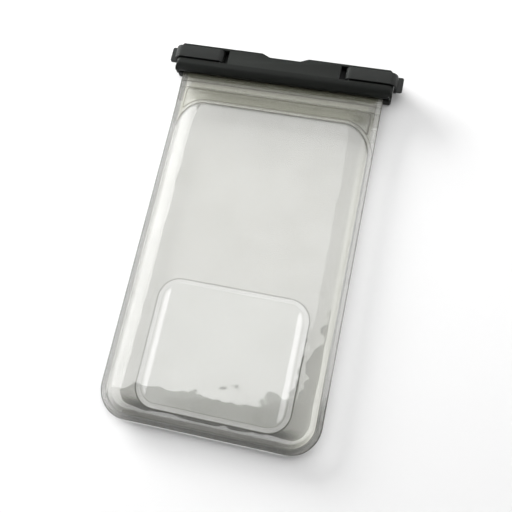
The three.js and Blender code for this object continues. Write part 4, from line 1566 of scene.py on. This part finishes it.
def add_camera(context):
    data = bpy.data.cameras.new("front view")
    data.lens = CAMERA_LENS
    data.sensor_width = SENSOR_WIDTH
    data.clip_start = 0.01
    camera = bpy.data.objects.new("front view", data)
    turned = Matrix((CAMERA_RIGHT, CAMERA_UP, CAMERA_BACK)).transposed().to_4x4()
    camera.matrix_world = Matrix.Translation(CAMERA_PLACE) @ turned
    context.scene.collection.objects.link(camera)
    context.scene.camera = camera


def add_lamp(lamp, strength):
    data = bpy.data.lights.new(lamp.name, "AREA")
    data.shape = "RECTANGLE"
    data.size, data.size_y = lamp.size
    data.energy = strength
    made = bpy.data.objects.new(lamp.name, data)
    out = Vector(lamp.back).normalized()
    along = Vector((*lamp.edge, 0))
    along = (along - out * along.dot(out)).normalized()
    turned = Matrix((along, out.cross(along), out)).transposed().to_4x4()
    made.matrix_world = Matrix.Translation(lamp.place) @ turned
    made.visible_glossy = lamp.mirrored
    bpy.context.scene.collection.objects.link(made)


def add_floor(settings):
    """A round floor that curves up into a low wall."""
    profile = [(radius, 0) for radius in FLOOR_RINGS]
    profile += arc(FLOOR_RINGS[-1], WALL_BEND, WALL_BEND, -math.pi / 2, 0, 12)[1:]
    profile.append((FLOOR_RINGS[-1] + WALL_BEND, WALL_TOP))
    sides = FLOOR_SIDES
    points = [(0, 0, -FLOOR_GAP)]
    for radius, height in profile:
        points += [(x, y, height - FLOOR_GAP) for x, y in circle(0, 0, radius, sides)]
    faces = [(0, 1 + n, 1 + (n + 1) % sides) for n in range(sides)]
    for ring in range(len(profile) - 1):
        first = 1 + ring * sides
        for n in range(sides):
            ahead = (n + 1) % sides
            faces.append((first + n, first + sides + n, first + sides + ahead, first + ahead))
    floor = object_of("floor", points, faces)
    shade_smooth(floor)
    material, shader, w = new_material("pale floor")
    height = w.along("Z")
    wall = w.span(height, 0.0, WALL_COLOUR_HEIGHT)
    w.put(shader.inputs["Base Color"], w.mix(wall, FLOOR_COLOUR, WALL_COLOUR))
    shader.inputs["Roughness"].default_value = 1.0
    shader.inputs["Specular IOR Level"].default_value = 0.0
    path = w.add("ShaderNodeLightPath")
    seen = union_of(
        w,
        [
            path.outputs["Is Camera Ray"],
            path.outputs["Is Glossy Ray"],
            path.outputs["Is Transmission Ray"],
        ],
    )
    shader.inputs["Emission Color"].default_value = (1, 1, 1, 1)
    glow = w.span(height, 0.0, WALL_GLOW_HEIGHT, settings.floor_glow, settings.wall_glow)
    w.put(shader.inputs["Emission Strength"], w.math("MULTIPLY", seen, glow))
    floor.data.materials.append(material)


def add_sky(context, settings):
    world = bpy.data.worlds.new("even light")
    world.use_nodes = True
    sky = world.node_tree.nodes["Background"]
    sky.inputs["Color"].default_value = (1, 1, 1, 1)
    w = Wiring(world.node_tree)
    way = w.add("ShaderNodeTexCoord").outputs["Generated"]
    towards = w.add("ShaderNodeVectorMath", {0: way, 1: SKY_SIDE}, operation="DOT_PRODUCT")
    low = settings.sky_strength * settings.sky_front_share
    strength = w.span(towards.outputs["Value"], *SKY_FADE, low, settings.sky_strength)
    w.put(sky.inputs["Strength"], strength)
    context.scene.world = world


class POUCH_OT_stage(bpy.types.Operator):
    """Sets up the camera, the soft lamps and the pale floor"""

    bl_idname = "pouch.stage"
    bl_label = "Stage"

    def execute(self, context):
        settings = context.scene.pouch_stage
        context.scene.view_settings.view_transform = "Standard"
        context.scene.cycles.transparent_max_bounces = FILM_FACES_CROSSED
        add_camera(context)
        add_floor(settings)
        add_sky(context, settings)
        for lamp in LAMPS:
            add_lamp(lamp, getattr(settings, lamp.strength))
        return {"FINISHED"}


class POUCH_PT_panel(bpy.types.Panel):
    """Lists the pouch's sizes, colours and pieces"""

    bl_idname = "POUCH_PT_panel"
    bl_label = "Waterproof Pouch"
    bl_space_type = "VIEW_3D"
    bl_region_type = "UI"
    bl_category = "Pouch"

    def draw(self, context):
        for group, kind in SETTINGS.items():
            box = self.layout.box()
            for name in kind.__annotations__:
                box.prop(getattr(context.scene, group), name)
        for operator in OPERATORS:
            self.layout.operator(operator.bl_idname)


SETTINGS = {
    "pouch_film": PouchFilmSettings,
    "pouch_clip": PouchClipSettings,
    "pouch_stage": PouchStageSettings,
}
OPERATORS = (
    POUCH_OT_stage,
    POUCH_OT_front_films,
    POUCH_OT_back_films,
    POUCH_OT_press_seal,
    POUCH_OT_clip_jaws,
    POUCH_OT_latches,
    POUCH_OT_pins,
)


def register():
    for kind in (*SETTINGS.values(), *OPERATORS, POUCH_PT_panel):
        bpy.utils.register_class(kind)
    for name, kind in SETTINGS.items():
        setattr(bpy.types.Scene, name, bpy.props.PointerProperty(type=kind))


def unregister():
    for name in SETTINGS:
        delattr(bpy.types.Scene, name)
    for kind in (POUCH_PT_panel, *reversed(OPERATORS), *reversed(SETTINGS.values())):
        bpy.utils.unregister_class(kind)


def main():
    register()
    line_group()
    film_skin_group()
    moulded_group()
    bpy.ops.pouch.stage()
    bpy.ops.pouch.front_films()
    bpy.ops.pouch.back_films()
    bpy.ops.pouch.press_seal()
    bpy.ops.pouch.clip_jaws()
    bpy.ops.pouch.latches()
    bpy.ops.pouch.pins()


if __name__ == "__main__":
    main()
